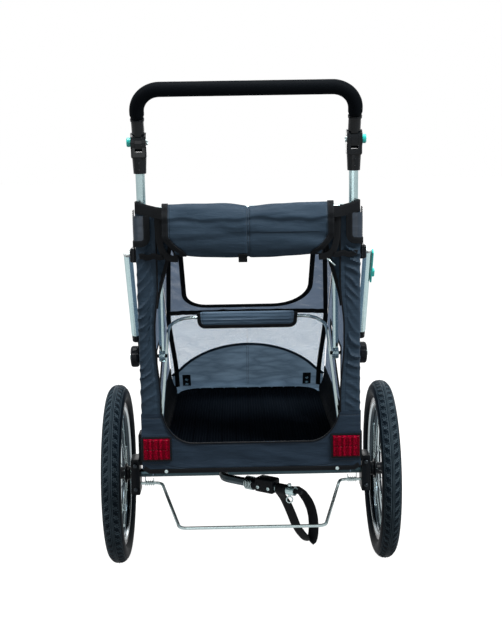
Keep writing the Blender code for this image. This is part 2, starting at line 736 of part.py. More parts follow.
def build_mid_hoop():
    """Inverted U from one stud over the roof line to the other, with a boss round each stud."""
    foot = STUD_HEIGHT
    corners = [at(-MID_HOOP_X, -STUD_BACK, foot), at(-MID_HOOP_X, -STUD_BACK - GAP, HOOP_TOP_HEIGHT),
               at(MID_HOOP_X, -STUD_BACK - GAP, HOOP_TOP_HEIGHT), at(MID_HOOP_X, -STUD_BACK, foot)]
    hoop = tube("mid_hoop", rounded_path(corners, MID_HOOP_CORNER, steps=5), MID_HOOP_RADIUS)
    for sign in (-1.0, 1.0):
        near, far = sign * (MID_HOOP_X - BOSS_WIDTH / 2), sign * (MID_HOOP_X + BOSS_WIDTH / 2)
        boss = rod("boss", at(near, -STUD_BACK, foot), at(far, -STUD_BACK, foot), BOSS_RADIUS, 16)
        hoop = join(hoop, boss)
        bore = rod("bore", at(sign * (MID_HOOP_X - BOSS_WIDTH), -STUD_BACK, foot),
                   at(sign * (MID_HOOP_X + BOSS_WIDTH), -STUD_BACK, foot), STUD_RADIUS + GAP, 12)
        hoop = cut(hoop, bore)
    return finish(hoop, "aluminium_tube")


def brace_lean():
    """Angle that the brace leans back from upright."""
    return math.atan2(BRACE_TOP_BACK - STUD_BACK, BRACE_TOP_HEIGHT - STUD_HEIGHT)


def brace_direction():
    """Unit direction of the brace, from the stud up to its top."""
    return Vector((0, -math.sin(brace_lean()), math.cos(brace_lean())))


def brace_point(x, distance):
    """Point on the brace's axis line at a distance from the stud."""
    return at(x, -STUD_BACK, STUD_HEIGHT) + brace_direction() * distance


def brace_length():
    """Distance from the stud to the brace's top."""
    return math.hypot(BRACE_TOP_BACK - STUD_BACK, BRACE_TOP_HEIGHT - STUD_HEIGHT)


def build_brace(side, sign):
    """Outer brace tube and the black foot that turns on the stud."""
    tube_start = BRACE_FOOT_LENGTH + GAP
    brace = rod(side_name("brace_tube", side), brace_point(sign * BRACE_X, tube_start),
                brace_point(sign * BRACE_X, brace_length()), BRACE_RADIUS, 14)
    finish(brace, "aluminium_tube")
    plate_inner, plate_outer = BRACE_PLATE_INNER, BRACE_PLATE_INNER + BRACE_PLATE_THICKNESS
    xs = sorted((sign * plate_inner, sign * plate_outer))
    foot = rod(side_name("brace_foot", side), at(xs[0], -STUD_BACK, STUD_HEIGHT),
               at(xs[1], -STUD_BACK, STUD_HEIGHT), BRACE_EYE_RADIUS, 18)
    place = Matrix.Translation(at(0, -STUD_BACK, STUD_HEIGHT)) @ Matrix.Rotation(brace_lean(), 4, "X")
    link = box("link", (xs[0], -BRACE_RADIUS, 0.0), (xs[1], BRACE_RADIUS, BRACE_PLATE_LENGTH))
    link.data.transform(place)
    plug = rod("plug", (sign * BRACE_X, 0, BRACE_PLUG_START), (sign * BRACE_X, 0, BRACE_FOOT_LENGTH),
               BRACE_RADIUS - FIT, 16)
    plug.data.transform(place)
    bore = rod("bore", at(sign * (plate_inner - CUT_OVER), -STUD_BACK, STUD_HEIGHT),
               at(sign * (plate_outer + CUT_OVER), -STUD_BACK, STUD_HEIGHT), STUD_RADIUS + GAP, 12)
    finish(cut(join(foot, link, plug), bore), "black_plastic")


def build_brace_bracket(side, sign):
    """Black link between the upright and the top of the brace."""
    inner, outer = WALL_X + WALL_THICKNESS / 2 + FIT, BRACE_INNER - GAP
    xs = sorted((sign * inner, sign * outer))
    low, high = BRACKET_LINK_Z - BRACKET_LINK_HEIGHT / 2, BRACKET_LINK_Z + BRACKET_LINK_HEIGHT / 2
    back = -upright_fore(low) - UPRIGHT_RADIUS - GAP
    link = box(side_name("brace_bracket", side), at(xs[0], -back, low),
               at(xs[1], -BRACE_TOP_BACK + BRACE_RADIUS * 1.2, high), BRACKET_LINK_ROUND)
    return finish(link, "black_plastic")


def build_release_lever():
    """Thin teal lever along the outside of the right brace, hinged at its top."""
    x_low = BRACE_OUTER + GAP
    hinge = brace_point(0.0, brace_length() - LEVER_TOP)
    place = Matrix.Translation(hinge) @ Matrix.Rotation(brace_lean(), 4, "X")
    lever = box("release_lever", (x_low, -LEVER_WIDTH / 2, -LEVER_LENGTH),
                (x_low + LEVER_THICKNESS, LEVER_WIDTH / 2, 0.0), LEVER_ROUND, 1)
    pad = box("pad", (x_low + LEVER_THICKNESS / 2, -LEVER_PAD_WIDTH / 2, -LEVER_PAD_LOW),
              (x_low + LEVER_THICKNESS + LEVER_PAD, LEVER_PAD_WIDTH / 2, -LEVER_PAD_HIGH), LEVER_PAD_ROUND, 1)
    lever = join(lever, pad)
    lever.data.transform(place)
    return finish(lever, "teal_plastic")


def build_roof_cover():
    """Roof sheet with side skirts, an inverted U in section."""
    outer_x = CABIN_HALF_WIDTH - ROOF_INSET
    inner_x = UPRIGHT_X + UPRIGHT_RADIUS + GAP
    top, under = ROOF_HEIGHT + ROOF_THICKNESS, ROOF_HEIGHT
    low = ROOF_HEIGHT - ROOF_SKIRT
    outer = rounded_path([Vector((outer_x, low)), Vector((outer_x, top)), Vector((-outer_x, top)),
                          Vector((-outer_x, low))], ROOF_CORNER, steps=4)
    inner_corner = ROOF_CORNER - (outer_x - inner_x)
    inner = rounded_path([Vector((-inner_x, low)), Vector((-inner_x, under)), Vector((inner_x, under)),
                          Vector((inner_x, low))], inner_corner, steps=4)
    back = -upright_fore(low) - UPRIGHT_RADIUS - FIT
    front = ROOF_FRONT_BACK - MID_HOOP_RADIUS
    place = frame_matrix(at(0, -(back + front) / 2, -ROOF_DROP / 2), (1, 0, 0), (0, 0, 1))
    place[2][2] = ROOF_DROP / (back - front)
    return finish(plate("roof_cover", [outer + inner], back - front, place), "slate_fabric")


def build_rear_roll():
    """Rear flap rolled up behind the uprights."""
    bm = bmesh.new()
    bmesh.ops.create_cone(bm, cap_ends=True, segments=28, radius1=1.0, radius2=1.0,
                          depth=2 * ROLL_HALF_LENGTH)
    bmesh.ops.scale(bm, vec=(ROLL_HALF_HEIGHT, ROLL_HALF_DEPTH, 1.0), verts=bm.verts)
    turn = Matrix.Rotation(math.pi / 2, 4, "Y")
    contact = math.radians(ROLL_CONTACT_DEG)
    normal = Vector((math.cos(contact) / ROLL_HALF_DEPTH, math.sin(contact) / ROLL_HALF_HEIGHT)).normalized()
    reach = normal * (UPRIGHT_RADIUS + GAP)
    fore = upright_fore(REAR_BAR_HEIGHT) - reach.x - ROLL_HALF_DEPTH * math.cos(contact)
    height = REAR_BAR_HEIGHT - reach.y - ROLL_HALF_HEIGHT * math.sin(contact)
    place = Matrix.Translation(at(0, fore, height)) @ turn
    bmesh.ops.transform(bm, matrix=place, verts=bm.verts)
    roll = mesh_object("rear_roll", bm)
    modifier = roll.modifiers.new("round", "BEVEL")
    modifier.width = ROLL_ROUND
    modifier.segments = 2
    modifier.limit_method = "ANGLE"
    modifier.angle_limit = math.radians(50)
    return finish(bake(roll), "slate_fabric")


# Front hoop
def build_front_hoop():
    """Thin U tube from the rails up to the knee of the sloping front."""
    corners = [at(-FRONT_HOOP_X, -FRONT_HOOP_PIVOT_BACK, RAIL_HEIGHT),
               at(-FRONT_HOOP_X, FRONT_HOOP_TOP_FORE, FRONT_HOOP_TOP_HEIGHT),
               at(FRONT_HOOP_X, FRONT_HOOP_TOP_FORE, FRONT_HOOP_TOP_HEIGHT),
               at(FRONT_HOOP_X, -FRONT_HOOP_PIVOT_BACK, RAIL_HEIGHT)]
    path = rounded_path(corners, FRONT_HOOP_CORNER, steps=5)
    return finish(tube("front_hoop", path, FRONT_HOOP_RADIUS), "steel")


# Fabric walls
def slope_low():
    """Foot of the sloping front, as (fore, height)."""
    return Vector((FRONT_TUBE_FORE + RAIL_RADIUS - FABRIC - FIT, RAIL_TOP + FIT))


def slope_knee():
    """Knee of the sloping front over the front hoop."""
    return Vector((SLOPE_KNEE_FORE, SLOPE_KNEE_HEIGHT))


def slope_top():
    """Top of the sloping front at the roof's front edge."""
    return Vector((-ROOF_FRONT_BACK + MID_HOOP_RADIUS + GAP, ROOF_HEIGHT - ROOF_DROP))


def slope_plate(name, start, end, outline, offset, thickness, finish_name):
    """Plate on the sloping front between two side-view points; its drawing runs (X, up the slope)."""
    run = (end - start).normalized()
    normal = Vector((run.y, -run.x))
    origin = start + normal * offset
    place = frame_matrix(at(0, origin.x, origin.y), (1, 0, 0), (0, run.x, run.y))
    return finish(plate(name, outline, thickness, place), finish_name, smooth=False)


def build_front():
    """Window mesh, arched lower panel, hatch surround and rolled hatch flap of the sloping front."""
    low, knee, top = slope_low(), slope_knee(), slope_top()
    lower_length = (knee - low).length - FIT
    half = WALL_X - WALL_THICKNESS / 2 - GAP
    window = rounded_path([Vector((-half, 0)), Vector((half, 0)),
                           Vector((half, lower_length)), Vector((-half, lower_length))],
                          [WINDOW_CORNER, WINDOW_CORNER, 0, 0], steps=3, closed=True)
    slope_plate("front_window", low, knee, [window], FABRIC / 2, FABRIC, "mesh_fabric")
    steps = 10
    inner_half = FRONT_PANEL_HALF_WIDTH
    rise = FRONT_PANEL_ARCH - FRONT_PANEL_SIDE
    radius = (inner_half ** 2 + rise ** 2) / (2 * rise)
    spread = math.asin(inner_half / radius)
    arch = [Vector((radius * math.sin(angle), FRONT_PANEL_ARCH - radius * (1 - math.cos(angle))))
            for angle in [spread * (1 - 2 * step / steps) for step in range(steps + 1)]]
    panel = [Vector((-inner_half, 2 * FIT)), Vector((inner_half, 2 * FIT))] + arch
    inside = -(FABRIC / 2 + GAP)
    slope_plate("front_panel", low, knee, [panel], inside, FABRIC, "slate_fabric")
    upper_length = (top - knee).length
    surround = [Vector((-half, FIT)), Vector((half, FIT)), Vector((half, upper_length)),
                Vector((-half, upper_length))]
    hatch = rounded_path([Vector((-HATCH_HALF_WIDTH, HATCH_START)), Vector((HATCH_HALF_WIDTH, HATCH_START)),
                          Vector((HATCH_HALF_WIDTH, HATCH_START + HATCH_LENGTH)),
                          Vector((-HATCH_HALF_WIDTH, HATCH_START + HATCH_LENGTH))],
                         HATCH_CORNER, steps=4, closed=True)
    slope_plate("hatch_surround", knee, top, [surround, hatch], FABRIC / 2, FABRIC, "mesh_fabric")
    bm = bmesh.new()
    bmesh.ops.create_cone(bm, cap_ends=True, segments=16, radius1=1.0, radius2=1.0,
                          depth=2 * FLAP_ROLL_HALF_LENGTH)
    bmesh.ops.scale(bm, vec=(FLAP_ROLL_HALF_HEIGHT, FLAP_ROLL_HALF_DEPTH, 1.0), verts=bm.verts)
    turn = Matrix.Rotation(math.pi / 2, 4, "Y")
    place = at(0, FRONT_HOOP_TOP_FORE - FRONT_HOOP_RADIUS - GAP - FLAP_ROLL_HALF_DEPTH,
               FRONT_HOOP_TOP_HEIGHT - FLAP_ROLL_SAG)
    bmesh.ops.transform(bm, matrix=Matrix.Translation(place) @ turn, verts=bm.verts)
    finish(mesh_object("hatch_flap", bm), "slate_fabric")


def build_side_wall(side, sign):
    """Side sheet with the slit between its upper part and the front hoop's leg."""
    low, knee, top = slope_low(), slope_knee(), slope_top()
    outline = rounded_path([Vector((low.x, WALL_BOTTOM)), Vector((knee.x + FABRIC, knee.y)),
                            Vector((top.x, top.y - FIT)), Vector((-WALL_BACK, WALL_TOP)),
                            Vector((-WALL_BACK, WALL_BOTTOM))],
                           [WINDOW_CORNER, 0, 0, 0, 0], steps=3, closed=True)
    rise = (FRONT_HOOP_TOP_HEIGHT - RAIL_HEIGHT) / (FRONT_HOOP_TOP_FORE + FRONT_HOOP_PIVOT_BACK)
    slit_back = -STUD_BACK - BOSS_RADIUS - SLIT_BACK_MARGIN

    def leg_height(fore):
        return RAIL_HEIGHT + (fore + FRONT_HOOP_PIVOT_BACK) * rise + FRONT_HOOP_RADIUS

    slit = rounded_path([Vector((slit_back, leg_height(slit_back))),
                         Vector((SLIT_FORE, leg_height(SLIT_FORE))),
                         Vector((SLIT_FORE, leg_height(SLIT_FORE) + SLIT_END_HEIGHT)),
                         Vector((slit_back, STUD_HEIGHT + BOSS_RADIUS + SLIT_TOP_MARGIN))],
                        SLIT_ROUND, steps=2, closed=True)
    place = frame_matrix(at(sign * WALL_X, 0, 0), (0, 1, 0), (0, 0, 1))
    return finish(plate(side_name("side_wall", side), [outline, slit], WALL_THICKNESS, place), "mesh_fabric",
                  smooth=False)


def build_rear_column(side, sign):
    """Rear corner sheet, L-shaped in plan, leaning from the sill back to the top of the cabin."""
    outer = CABIN_HALF_WIDTH
    inner = UPRIGHT_X + UPRIGHT_RADIUS + FIT
    face_back, face_front = -SILL_BACK, -SILL_FRONT
    end = face_back + COLUMN_RETURN
    rounded = rounded_path([Vector((OPENING_HALF_WIDTH, face_back)), Vector((outer, face_back)),
                            Vector((outer, end))], COLUMN_CORNER, steps=3)
    outline = rounded + [Vector((inner, end)), Vector((inner, face_front)),
                         Vector((OPENING_HALF_WIDTH, face_front))]
    outline = [Vector((sign * point.x, point.y)) for point in outline]
    low, high = SILL_TOP + GAP, COLUMN_TOP
    top_front = upright_fore(high) - UPRIGHT_RADIUS - FIT
    lean = (top_front - face_front) / (high - low)
    place = Matrix.Translation(at(0, lean * (high - low) / 2, (low + high) / 2))
    place[1][2] = lean
    return finish(plate(side_name("rear_column", side), [outline], high - low, place), "slate_fabric")


# Push handle
def upright_axis():
    """Unit direction up along the uprights."""
    return Vector((0, -math.sin(UPRIGHT_LEAN), math.cos(UPRIGHT_LEAN)))


def pivot_point(sign):
    """Point where the handle turns, on one side."""
    return at(sign * UPRIGHT_X, -PIVOT_BACK, PIVOT_HEIGHT)


def handle_point(x, distance):
    """Point at a distance up the handle's arms from the pivot axis."""
    direction = Vector((0, -math.sin(HANDLE_LEAN), math.cos(HANDLE_LEAN)))
    return at(x, -PIVOT_BACK, PIVOT_HEIGHT) + direction * distance


def build_handle_grip():
    """Foam-covered U bar."""
    corners = [handle_point(-UPRIGHT_X, GRIP_START), handle_point(-UPRIGHT_X, HANDLE_REACH),
               handle_point(UPRIGHT_X, HANDLE_REACH), handle_point(UPRIGHT_X, GRIP_START)]
    path = rounded_path(corners, GRIP_CORNER, steps=7)
    return finish(tube("handle_grip", path, GRIP_RADIUS, resolution=4), "foam")


def build_knuckle(side, sign):
    """Round tongue that turns in the socket, with the collar that takes the grip bar."""
    disc = rod(side_name("handle_knuckle", side), (-KNUCKLE_WIDTH / 2, 0, 0), (KNUCKLE_WIDTH / 2, 0, 0),
               KNUCKLE_RADIUS, 20)
    collar_start = KNUCKLE_RADIUS + NECK_LAP
    neck = box("neck", (-KNUCKLE_WIDTH / 2, -NECK_HALF_DEPTH, NECK_START),
               (KNUCKLE_WIDTH / 2, NECK_HALF_DEPTH, collar_start + NECK_LAP))
    collar = rod("collar", (0, 0, collar_start), (0, 0, GRIP_START - GAP), COLLAR_RADIUS, 16)
    knuckle = join(disc, neck, collar)
    knuckle.matrix_world = Matrix.Translation(pivot_point(sign)) @ Matrix.Rotation(HANDLE_LEAN, 4, "X")
    return finish(bake(knuckle), "black_plastic")


def build_socket(side, sign):
    """Forked housing on top of the upright, with its tapered ferrule and the push button."""
    half = SOCKET_WIDTH / 2
    slot = KNUCKLE_WIDTH / 2 + GAP
    cheek = rod(side_name("handle_socket", side), (-half, 0, 0), (half, 0, 0), KNUCKLE_RADIUS, 20)
    body = box("body", (-half, -SOCKET_BODY_DEPTH / 2, -SOCKET_BODY_LENGTH),
               (half, SOCKET_BODY_DEPTH / 2, 0.0), SOCKET_ROUND)
    ferrule = rod("ferrule", (0, 0, -FERRULE_END), (0, 0, FERRULE_LAP - SOCKET_BODY_LENGTH),
                  FERRULE_END_RADIUS, 18, FERRULE_TOP_RADIUS)
    socket = join(cheek, body, ferrule)
    slot_reach = KNUCKLE_RADIUS + CUT_OVER
    slot_box = box("slot", (-slot, -slot_reach, -KNUCKLE_RADIUS - GAP), (slot, slot_reach, slot_reach))
    tube_bore = rod("bore", (0, 0, -FERRULE_END - CUT_OVER), (0, 0, -UPRIGHT_SEAT), UPRIGHT_RADIUS + GAP, 16)
    hole = rod("hole", (sign * slot * 0.9, 0, 0), (sign * (half + CUT_OVER), 0, 0), BUTTON_RADIUS + GAP, 18)
    socket = cut(socket, slot_box, tube_bore, hole)
    place = Matrix.Translation(pivot_point(sign)) @ Matrix.Rotation(UPRIGHT_LEAN, 4, "X")
    socket.matrix_world = place
    finish(bake(socket), "black_plastic")
    inner = slot + BUTTON_TRAVEL + GAP
    button = rod(side_name("handle_button", side), (sign * inner, 0, 0), (sign * (half + BUTTON_STAND), 0, 0),
                 BUTTON_RADIUS, 18)
    modifier = button.modifiers.new("round", "BEVEL")
    modifier.width = BUTTON_ROUND
    modifier.segments = 1
    modifier.limit_method = "ANGLE"
    modifier.angle_limit = math.radians(60)
    button.matrix_world = place
    finish(bake(button), "teal_plastic")


def build_knob(side, sign):
    """Round locking knob on the stud's outer end."""
    start = STUD_OUTER + GAP
    knob = rod(side_name("side_knob", side), at(sign * start, -STUD_BACK, STUD_HEIGHT),
               at(sign * (start + KNOB_THICKNESS), -STUD_BACK, STUD_HEIGHT), KNOB_RADIUS, 24)
    modifier = knob.modifiers.new("round", "BEVEL")
    modifier.width = KNOB_ROUND
    modifier.segments = 2
    modifier.limit_method = "ANGLE"
    modifier.angle_limit = math.radians(60)
    knob = bake(knob)
    for index in range(6):
        angle = math.tau * (index + 0.5) / 6
        centre_fore = -STUD_BACK + (KNOB_RADIUS + SCOOP_OFFSET) * math.cos(angle)
        centre_z = STUD_HEIGHT + (KNOB_RADIUS + SCOOP_OFFSET) * math.sin(angle)
        scoop = rod("scoop", at(sign * (start - CUT_OVER), centre_fore, centre_z),
                    at(sign * (start + KNOB_THICKNESS + CUT_OVER), centre_fore, centre_z), SCOOP_RADIUS, 10)
        knob = cut(knob, scoop)
    return finish(knob, "black_plastic")


# Parking brake
def build_brake_bar():
    """Foot bar that hangs behind the axle tube and turns in the brackets."""
    end = BRACKET_INNER - GAP
    pivot = (-BAR_PIVOT_BACK, BAR_PIVOT_HEIGHT)
    low = (-BAR_LOW_BACK, BAR_LOW_HEIGHT)
    corners = [at(-end, *pivot), at(-BAR_SHOULDER_X, *pivot), at(-BAR_CORNER_X, *low),
               at(BAR_CORNER_X, *low), at(BAR_SHOULDER_X, *pivot), at(end, *pivot)]
    path = rounded_path(corners, BAR_BEND, steps=4)
    return finish(tube("brake_bar", path, BAR_RADIUS), "steel")


def build_brake_spring(side, sign):
    """Torsion spring wound round the brake bar's end, its two legs up beside the axle tube."""
    seat = BAR_RADIUS + GAP + SPRING_WIRE
    radius = seat / math.cos(math.pi / SPRING_POINTS_PER_TURN)
    points = []
    for step in range(round(SPRING_TURNS * SPRING_POINTS_PER_TURN) + 1):
        angle = math.pi + math.tau * step / SPRING_POINTS_PER_TURN
        x = SPRING_START_X + SPRING_PITCH * step / SPRING_POINTS_PER_TURN
        points.append(at(sign * x, -BAR_PIVOT_BACK + radius * math.cos(angle),
                         BAR_PIVOT_HEIGHT + radius * math.sin(angle)))
    leg = Vector((0, 0, SPRING_LEG))
    path = [points[0] + leg] + points + [points[-1] + leg]
    report_spring_gap(side, path)
    obj = tube(side_name("brake_spring", side), path, SPRING_WIRE, resolution=1)
    return finish(obj, "steel")


def report_spring_gap(side, path):
    """Print the least gap between one turn of a spring and the next, measured on its path's points."""
    apart = SPRING_POINTS_PER_TURN // 2
    nearest = min((first - second).length for index, first in enumerate(path)
                  for second in path[index + apart:])
    print(f"brake_spring_{side}: least gap between turns {(nearest - 2 * SPRING_WIRE) * 1000:.2f} mm")


# Tow arm
def arm_end_direction():
    """Level direction of the arm's bent rear end."""
    angle = math.radians(ARM_END_ANGLE_DEG)
    return Vector((math.sin(angle), -math.cos(angle), 0))


def arm_end_point(distance):
    """Point along the bent rear end, from the corner of the bend."""
    return at(ARM_X, -ARM_BEND_BACK, ARM_HEIGHT) + arm_end_direction() * distance


def build_tow_arm():
    """Arm tube, coupling block, coupling tube, pin and the keepers that carry the stowed arm."""
    path = rounded_path([at(ARM_X, ARM_FRONT_FORE, ARM_HEIGHT), at(ARM_X, -ARM_BEND_BACK, ARM_HEIGHT),
                         arm_end_point(ARM_END_RUN)], ARM_BEND_RADIUS, steps=5)
    finish(tube("tow_arm", path, ARM_RADIUS), "aluminium_tube")
    block_start = ARM_END_RUN + GAP
    half = BLOCK_WIDTH / 2
    block = box("coupling_block", (-half, 0, -half * 0.85), (half, BLOCK_LENGTH, half * 0.85), BLOCK_ROUND)
    direction = arm_end_direction()
    block.matrix_world = frame_matrix(arm_end_point(block_start), (-direction.y, direction.x, 0), direction)
    finish(bake(block), "black_plastic")
    tube_start = block_start + BLOCK_LENGTH + GAP
    tube_end = tube_start + COUPLING_LENGTH
    coupling = rod("coupling_tube", arm_end_point(tube_start), arm_end_point(tube_end), ARM_RADIUS, 16)
    bore = rod("bore", arm_end_point(tube_start + COUPLING_BORE_START), arm_end_point(tube_end + CUT_OVER),
               COUPLING_BORE, 14)
    pin_at = arm_end_point(tube_end - PIN_STATION)
    up = Vector((0, 0, 1))
    reach = up * (ARM_RADIUS + CUT_OVER)
    hole = rod("hole", pin_at - reach, pin_at + reach, PIN_RADIUS + GAP, 12)
    finish(cut(coupling, bore, hole), "aluminium_tube")
    pin_top = pin_at + up * (ARM_RADIUS + PIN_STAND_TOP)
    pin_low = pin_at - up * (ARM_RADIUS + PIN_STAND_LOW)
    pin = rod("coupling_pin", pin_low, pin_top, PIN_RADIUS, 10)
    ring_centre = pin_low - up * (PIN_RING_RADIUS - PIN_RING_WIRE)
    side_way = Vector((1, 0, 0))
    ring_path = [ring_centre + side_way * (PIN_RING_RADIUS * math.cos(math.tau * step / 14))
                 + up * (PIN_RING_RADIUS * math.sin(math.tau * step / 14)) for step in range(14)]
    ring = tube("ring", ring_path, PIN_RING_WIRE, closed=True, resolution=1)
    finish(join(pin, ring), "steel")
    build_keepers()


def build_keepers():
    """Saddle on the axle tube and block under the front tube; the arm slides through both."""
    wall = ARM_RADIUS + FIT + KEEPER_WALL
    half = KEEPER_LENGTH / 2
    bore = [at(ARM_X, -KEEPER_LENGTH, ARM_HEIGHT), at(ARM_X, FRONT_TUBE_FORE + KEEPER_LENGTH, ARM_HEIGHT)]
    reach = wall + CUT_OVER
    saddle = box("arm_keeper_rear", at(ARM_X - wall, -half, WHEEL_RADIUS),
                 at(ARM_X + wall, half, ARM_HEIGHT + wall), KEEPER_ROUND)
    seat = rod("seat", at(ARM_X - reach, 0, WHEEL_RADIUS), at(ARM_X + reach, 0, WHEEL_RADIUS),
               AXLE_TUBE_RADIUS + GAP, 28)
    saddle = cut(saddle, seat, rod("bore", *bore, ARM_RADIUS + GAP, 16))
    finish(saddle, "black_plastic")
    block_top = RAIL_HEIGHT
    low = ARM_HEIGHT - wall
    block = box("arm_keeper_front", at(ARM_X - wall, FRONT_TUBE_FORE - 2 * half, low),
                at(ARM_X + wall, FRONT_TUBE_FORE, block_top), KEEPER_ROUND)
    notch = rod("notch", at(ARM_X - reach, FRONT_TUBE_FORE, RAIL_HEIGHT),
                at(ARM_X + reach, FRONT_TUBE_FORE, RAIL_HEIGHT),
                RAIL_RADIUS + GAP, 28)
    block = cut(block, notch, rod("bore", *bore, ARM_RADIUS + GAP, 16))
    finish(block, "black_plastic")


def build_safety_strap():
    """Webbing loop that hangs over the coupling tube."""
    seat = arm_end_point(ARM_END_RUN + BLOCK_LENGTH + STRAP_STATION)
    along, up = arm_end_direction(), Vector((0, 0, 1))
    aside = up.cross(along)
    radius = ARM_RADIUS + GAP + STRAP_THICKNESS / 2 + STRAP_SEAT
    over = [seat + aside * radius * math.sin(angle) + up * radius * math.cos(angle)
            for angle in [math.radians(degrees) for degrees in range(-125, 61, 15)]]
    points = over + [seat + Vector(offset) for offset in STRAP_HANG]
    bm = bmesh.new()
    rings = []
    for index, centre in enumerate(points):
        tangent = (points[(index + 1) % len(points)] - points[index - 1]).normalized()
        width = (along - tangent * along.dot(tangent)).normalized() * STRAP_WIDTH / 2
        inward = tangent.cross(width).normalized() * STRAP_THICKNESS / 2
        rings.append([bm.verts.new(centre + corner) for corner in
                      (width + inward, -width + inward, -width - inward, width - inward)])
    for ring, following in zip(rings, rings[1:] + rings[:1]):
        for corner in range(4):
            ahead = (corner + 1) % 4
            bm.faces.new((ring[corner], ring[ahead], following[ahead], following[corner]))
    bmesh.ops.recalc_face_normals(bm, faces=bm.faces)
    return finish(mesh_object("safety_strap", bm), "black_fabric", smooth=False)


def build():
    """Model every piece of the trailer."""
    for obj in list(bpy.data.objects):
        bpy.data.objects.remove(obj)
    bpy.context.scene.collection.children.link(MODEL)
    build_base_frame()
    build_axle_tube()
    build_floor()
    build_rear_sill()
    build_upright_frame()
    build_mid_hoop()
    build_release_lever()
    build_roof_cover()
    build_rear_roll()
    build_front_hoop()
    build_front()
    build_handle_grip()
    build_brake_bar()
    build_tow_arm()
    build_safety_strap()
    paired = (build_axle_bracket, build_side_post, build_reflector, build_tyre, build_rim, build_hub,
              build_wheel_axle, build_brace, build_brace_bracket, build_side_wall, build_rear_column,
              build_knuckle, build_socket, build_knob, build_brake_spring)
    for side, sign in SIDES:
        for make in paired:
            make(side, sign)


build()
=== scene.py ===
"""Dressed model of a dog bike trailer: fabric cabin, two spoked wheels, push handle and stowed tow arm.

Metres, +Z up, +Y is the direction of travel and the camera stands behind the trailer.
"""

import logging
import math
from collections.abc import Callable, Iterator, Sequence
from contextlib import contextmanager
from dataclasses import dataclass
from enum import Enum

import bmesh
import bpy
from mathutils import Matrix, Vector, noise


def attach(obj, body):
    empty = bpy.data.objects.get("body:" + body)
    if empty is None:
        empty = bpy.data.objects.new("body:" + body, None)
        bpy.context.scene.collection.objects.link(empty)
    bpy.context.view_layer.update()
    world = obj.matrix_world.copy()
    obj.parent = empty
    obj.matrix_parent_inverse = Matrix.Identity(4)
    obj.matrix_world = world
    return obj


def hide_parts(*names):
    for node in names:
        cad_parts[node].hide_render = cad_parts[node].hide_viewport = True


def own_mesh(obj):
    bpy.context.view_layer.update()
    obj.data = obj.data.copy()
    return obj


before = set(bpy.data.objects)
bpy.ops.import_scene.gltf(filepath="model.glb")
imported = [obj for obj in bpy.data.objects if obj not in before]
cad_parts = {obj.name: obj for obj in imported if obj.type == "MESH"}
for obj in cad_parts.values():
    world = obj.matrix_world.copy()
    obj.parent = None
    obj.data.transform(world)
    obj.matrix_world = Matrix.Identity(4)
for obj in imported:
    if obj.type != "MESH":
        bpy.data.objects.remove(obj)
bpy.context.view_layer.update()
log = logging.getLogger("trailer")

Piece = bpy.types.Object
Material = bpy.types.Material
NodeTree = bpy.types.NodeTree
Node = bpy.types.Node
Socket = bpy.types.NodeSocket
Tone = tuple[float, float, float]
Place = Callable[[float, float], Vector]
Facing = Callable[[float], Vector]

AXLE_Y = -0.042484
WHEEL_RADIUS = 0.2
UPRIGHT_X = 0.2065
UPRIGHT_LEAN = math.radians(5.0)
PIVOT_BACK = 0.284
PIVOT_HEIGHT = 0.937
STUD = (-0.040, 0.475)
ROOF_FRONT = -0.0332
FABRIC_FOOT = 0.2978
UP = Vector((0, 0, 1))
BACKWARDS = Vector((0, -1, 0))
MERGE = 0.00002
FINE_MERGE = 0.00001
NO_SEAM = 0.05
STITCH_PITCH = 0.0036


class Side(Enum):
    """Left and right of the trailer, seen from behind."""

    LEFT = -1.0
    RIGHT = 1.0

    @property
    def word(self) -> str:
        """Lower-case name used in piece and node names."""
        return self.name.lower()


def at(x: float, fore: float, z: float) -> Vector:
    """World point of a place given by its distance in front of the wheel axle."""
    return Vector((x, fore + AXLE_Y, z))


def smooth_step(low: float, high: float, value: float) -> float:
    """Smooth rise from 0 at low to 1 at high."""
    share = min(1.0, max(0.0, (value - low) / (high - low)))
    return share * share * (3 - 2 * share)


def bump(value: float, centre: float, width: float) -> float:
    """Bell of height 1 round a centre."""
    return math.exp(-((value - centre) / width) ** 2)


def ripple(x: float, y: float, z: float = 0.0) -> float:
    """Smooth repeatable noise between about -1 and 1."""
    return noise.noise(Vector((x, y, z)))


# Modelling helpers
def only(obj: Piece) -> Piece:
    """Select one object alone and make it the active one.

    Args:
        obj: The piece.

    Returns:
        The same piece.
    """
    bpy.ops.object.select_all(action="DESELECT")
    obj.select_set(True)
    bpy.context.view_layer.objects.active = obj
    return obj


@contextmanager
def editing(obj: Piece) -> Iterator[bmesh.types.BMesh]:
    """Edit mode on one object, with nothing selected at the start.

    Args:
        obj: The mesh object to edit.

    Returns:
        The edit mesh, whose elements the caller may select.
    """
    only(obj)
    bpy.ops.object.mode_set(mode="EDIT")
    bpy.ops.mesh.select_mode(type="FACE")
    bpy.ops.mesh.select_all(action="DESELECT")
    mesh = bmesh.from_edit_mesh(obj.data)
    mesh.faces.ensure_lookup_table()
    yield mesh
    bpy.ops.object.mode_set(mode="OBJECT")


def pick_faces(obj: Piece, mesh: bmesh.types.BMesh, test: Callable[[Vector, Vector], bool]) -> None:
    """Select the faces whose centre and normal pass a test.

    Args:
        obj: The piece in edit mode.
        mesh: Its edit mesh.
        test: Tells by centre and normal whether a face is wanted.
    """
    for face in mesh.faces:
        face.select_set(test(face.calc_center_median(), face.normal))
    bmesh.update_edit_mesh(obj.data)


def added(operator: Callable[..., set[str]], place: Sequence[float] = (0, 0, 0), **settings: object) -> Piece:
    """Object that an add operator makes while nothing is selected.

    Args:
        operator: The operator.
        place: Where the object is added.
        settings: The operator's own settings.

    Returns:
        The new object.
    """
    bpy.ops.object.select_all(action="DESELECT")
    operator(location=tuple(place), **settings)
    return bpy.context.object


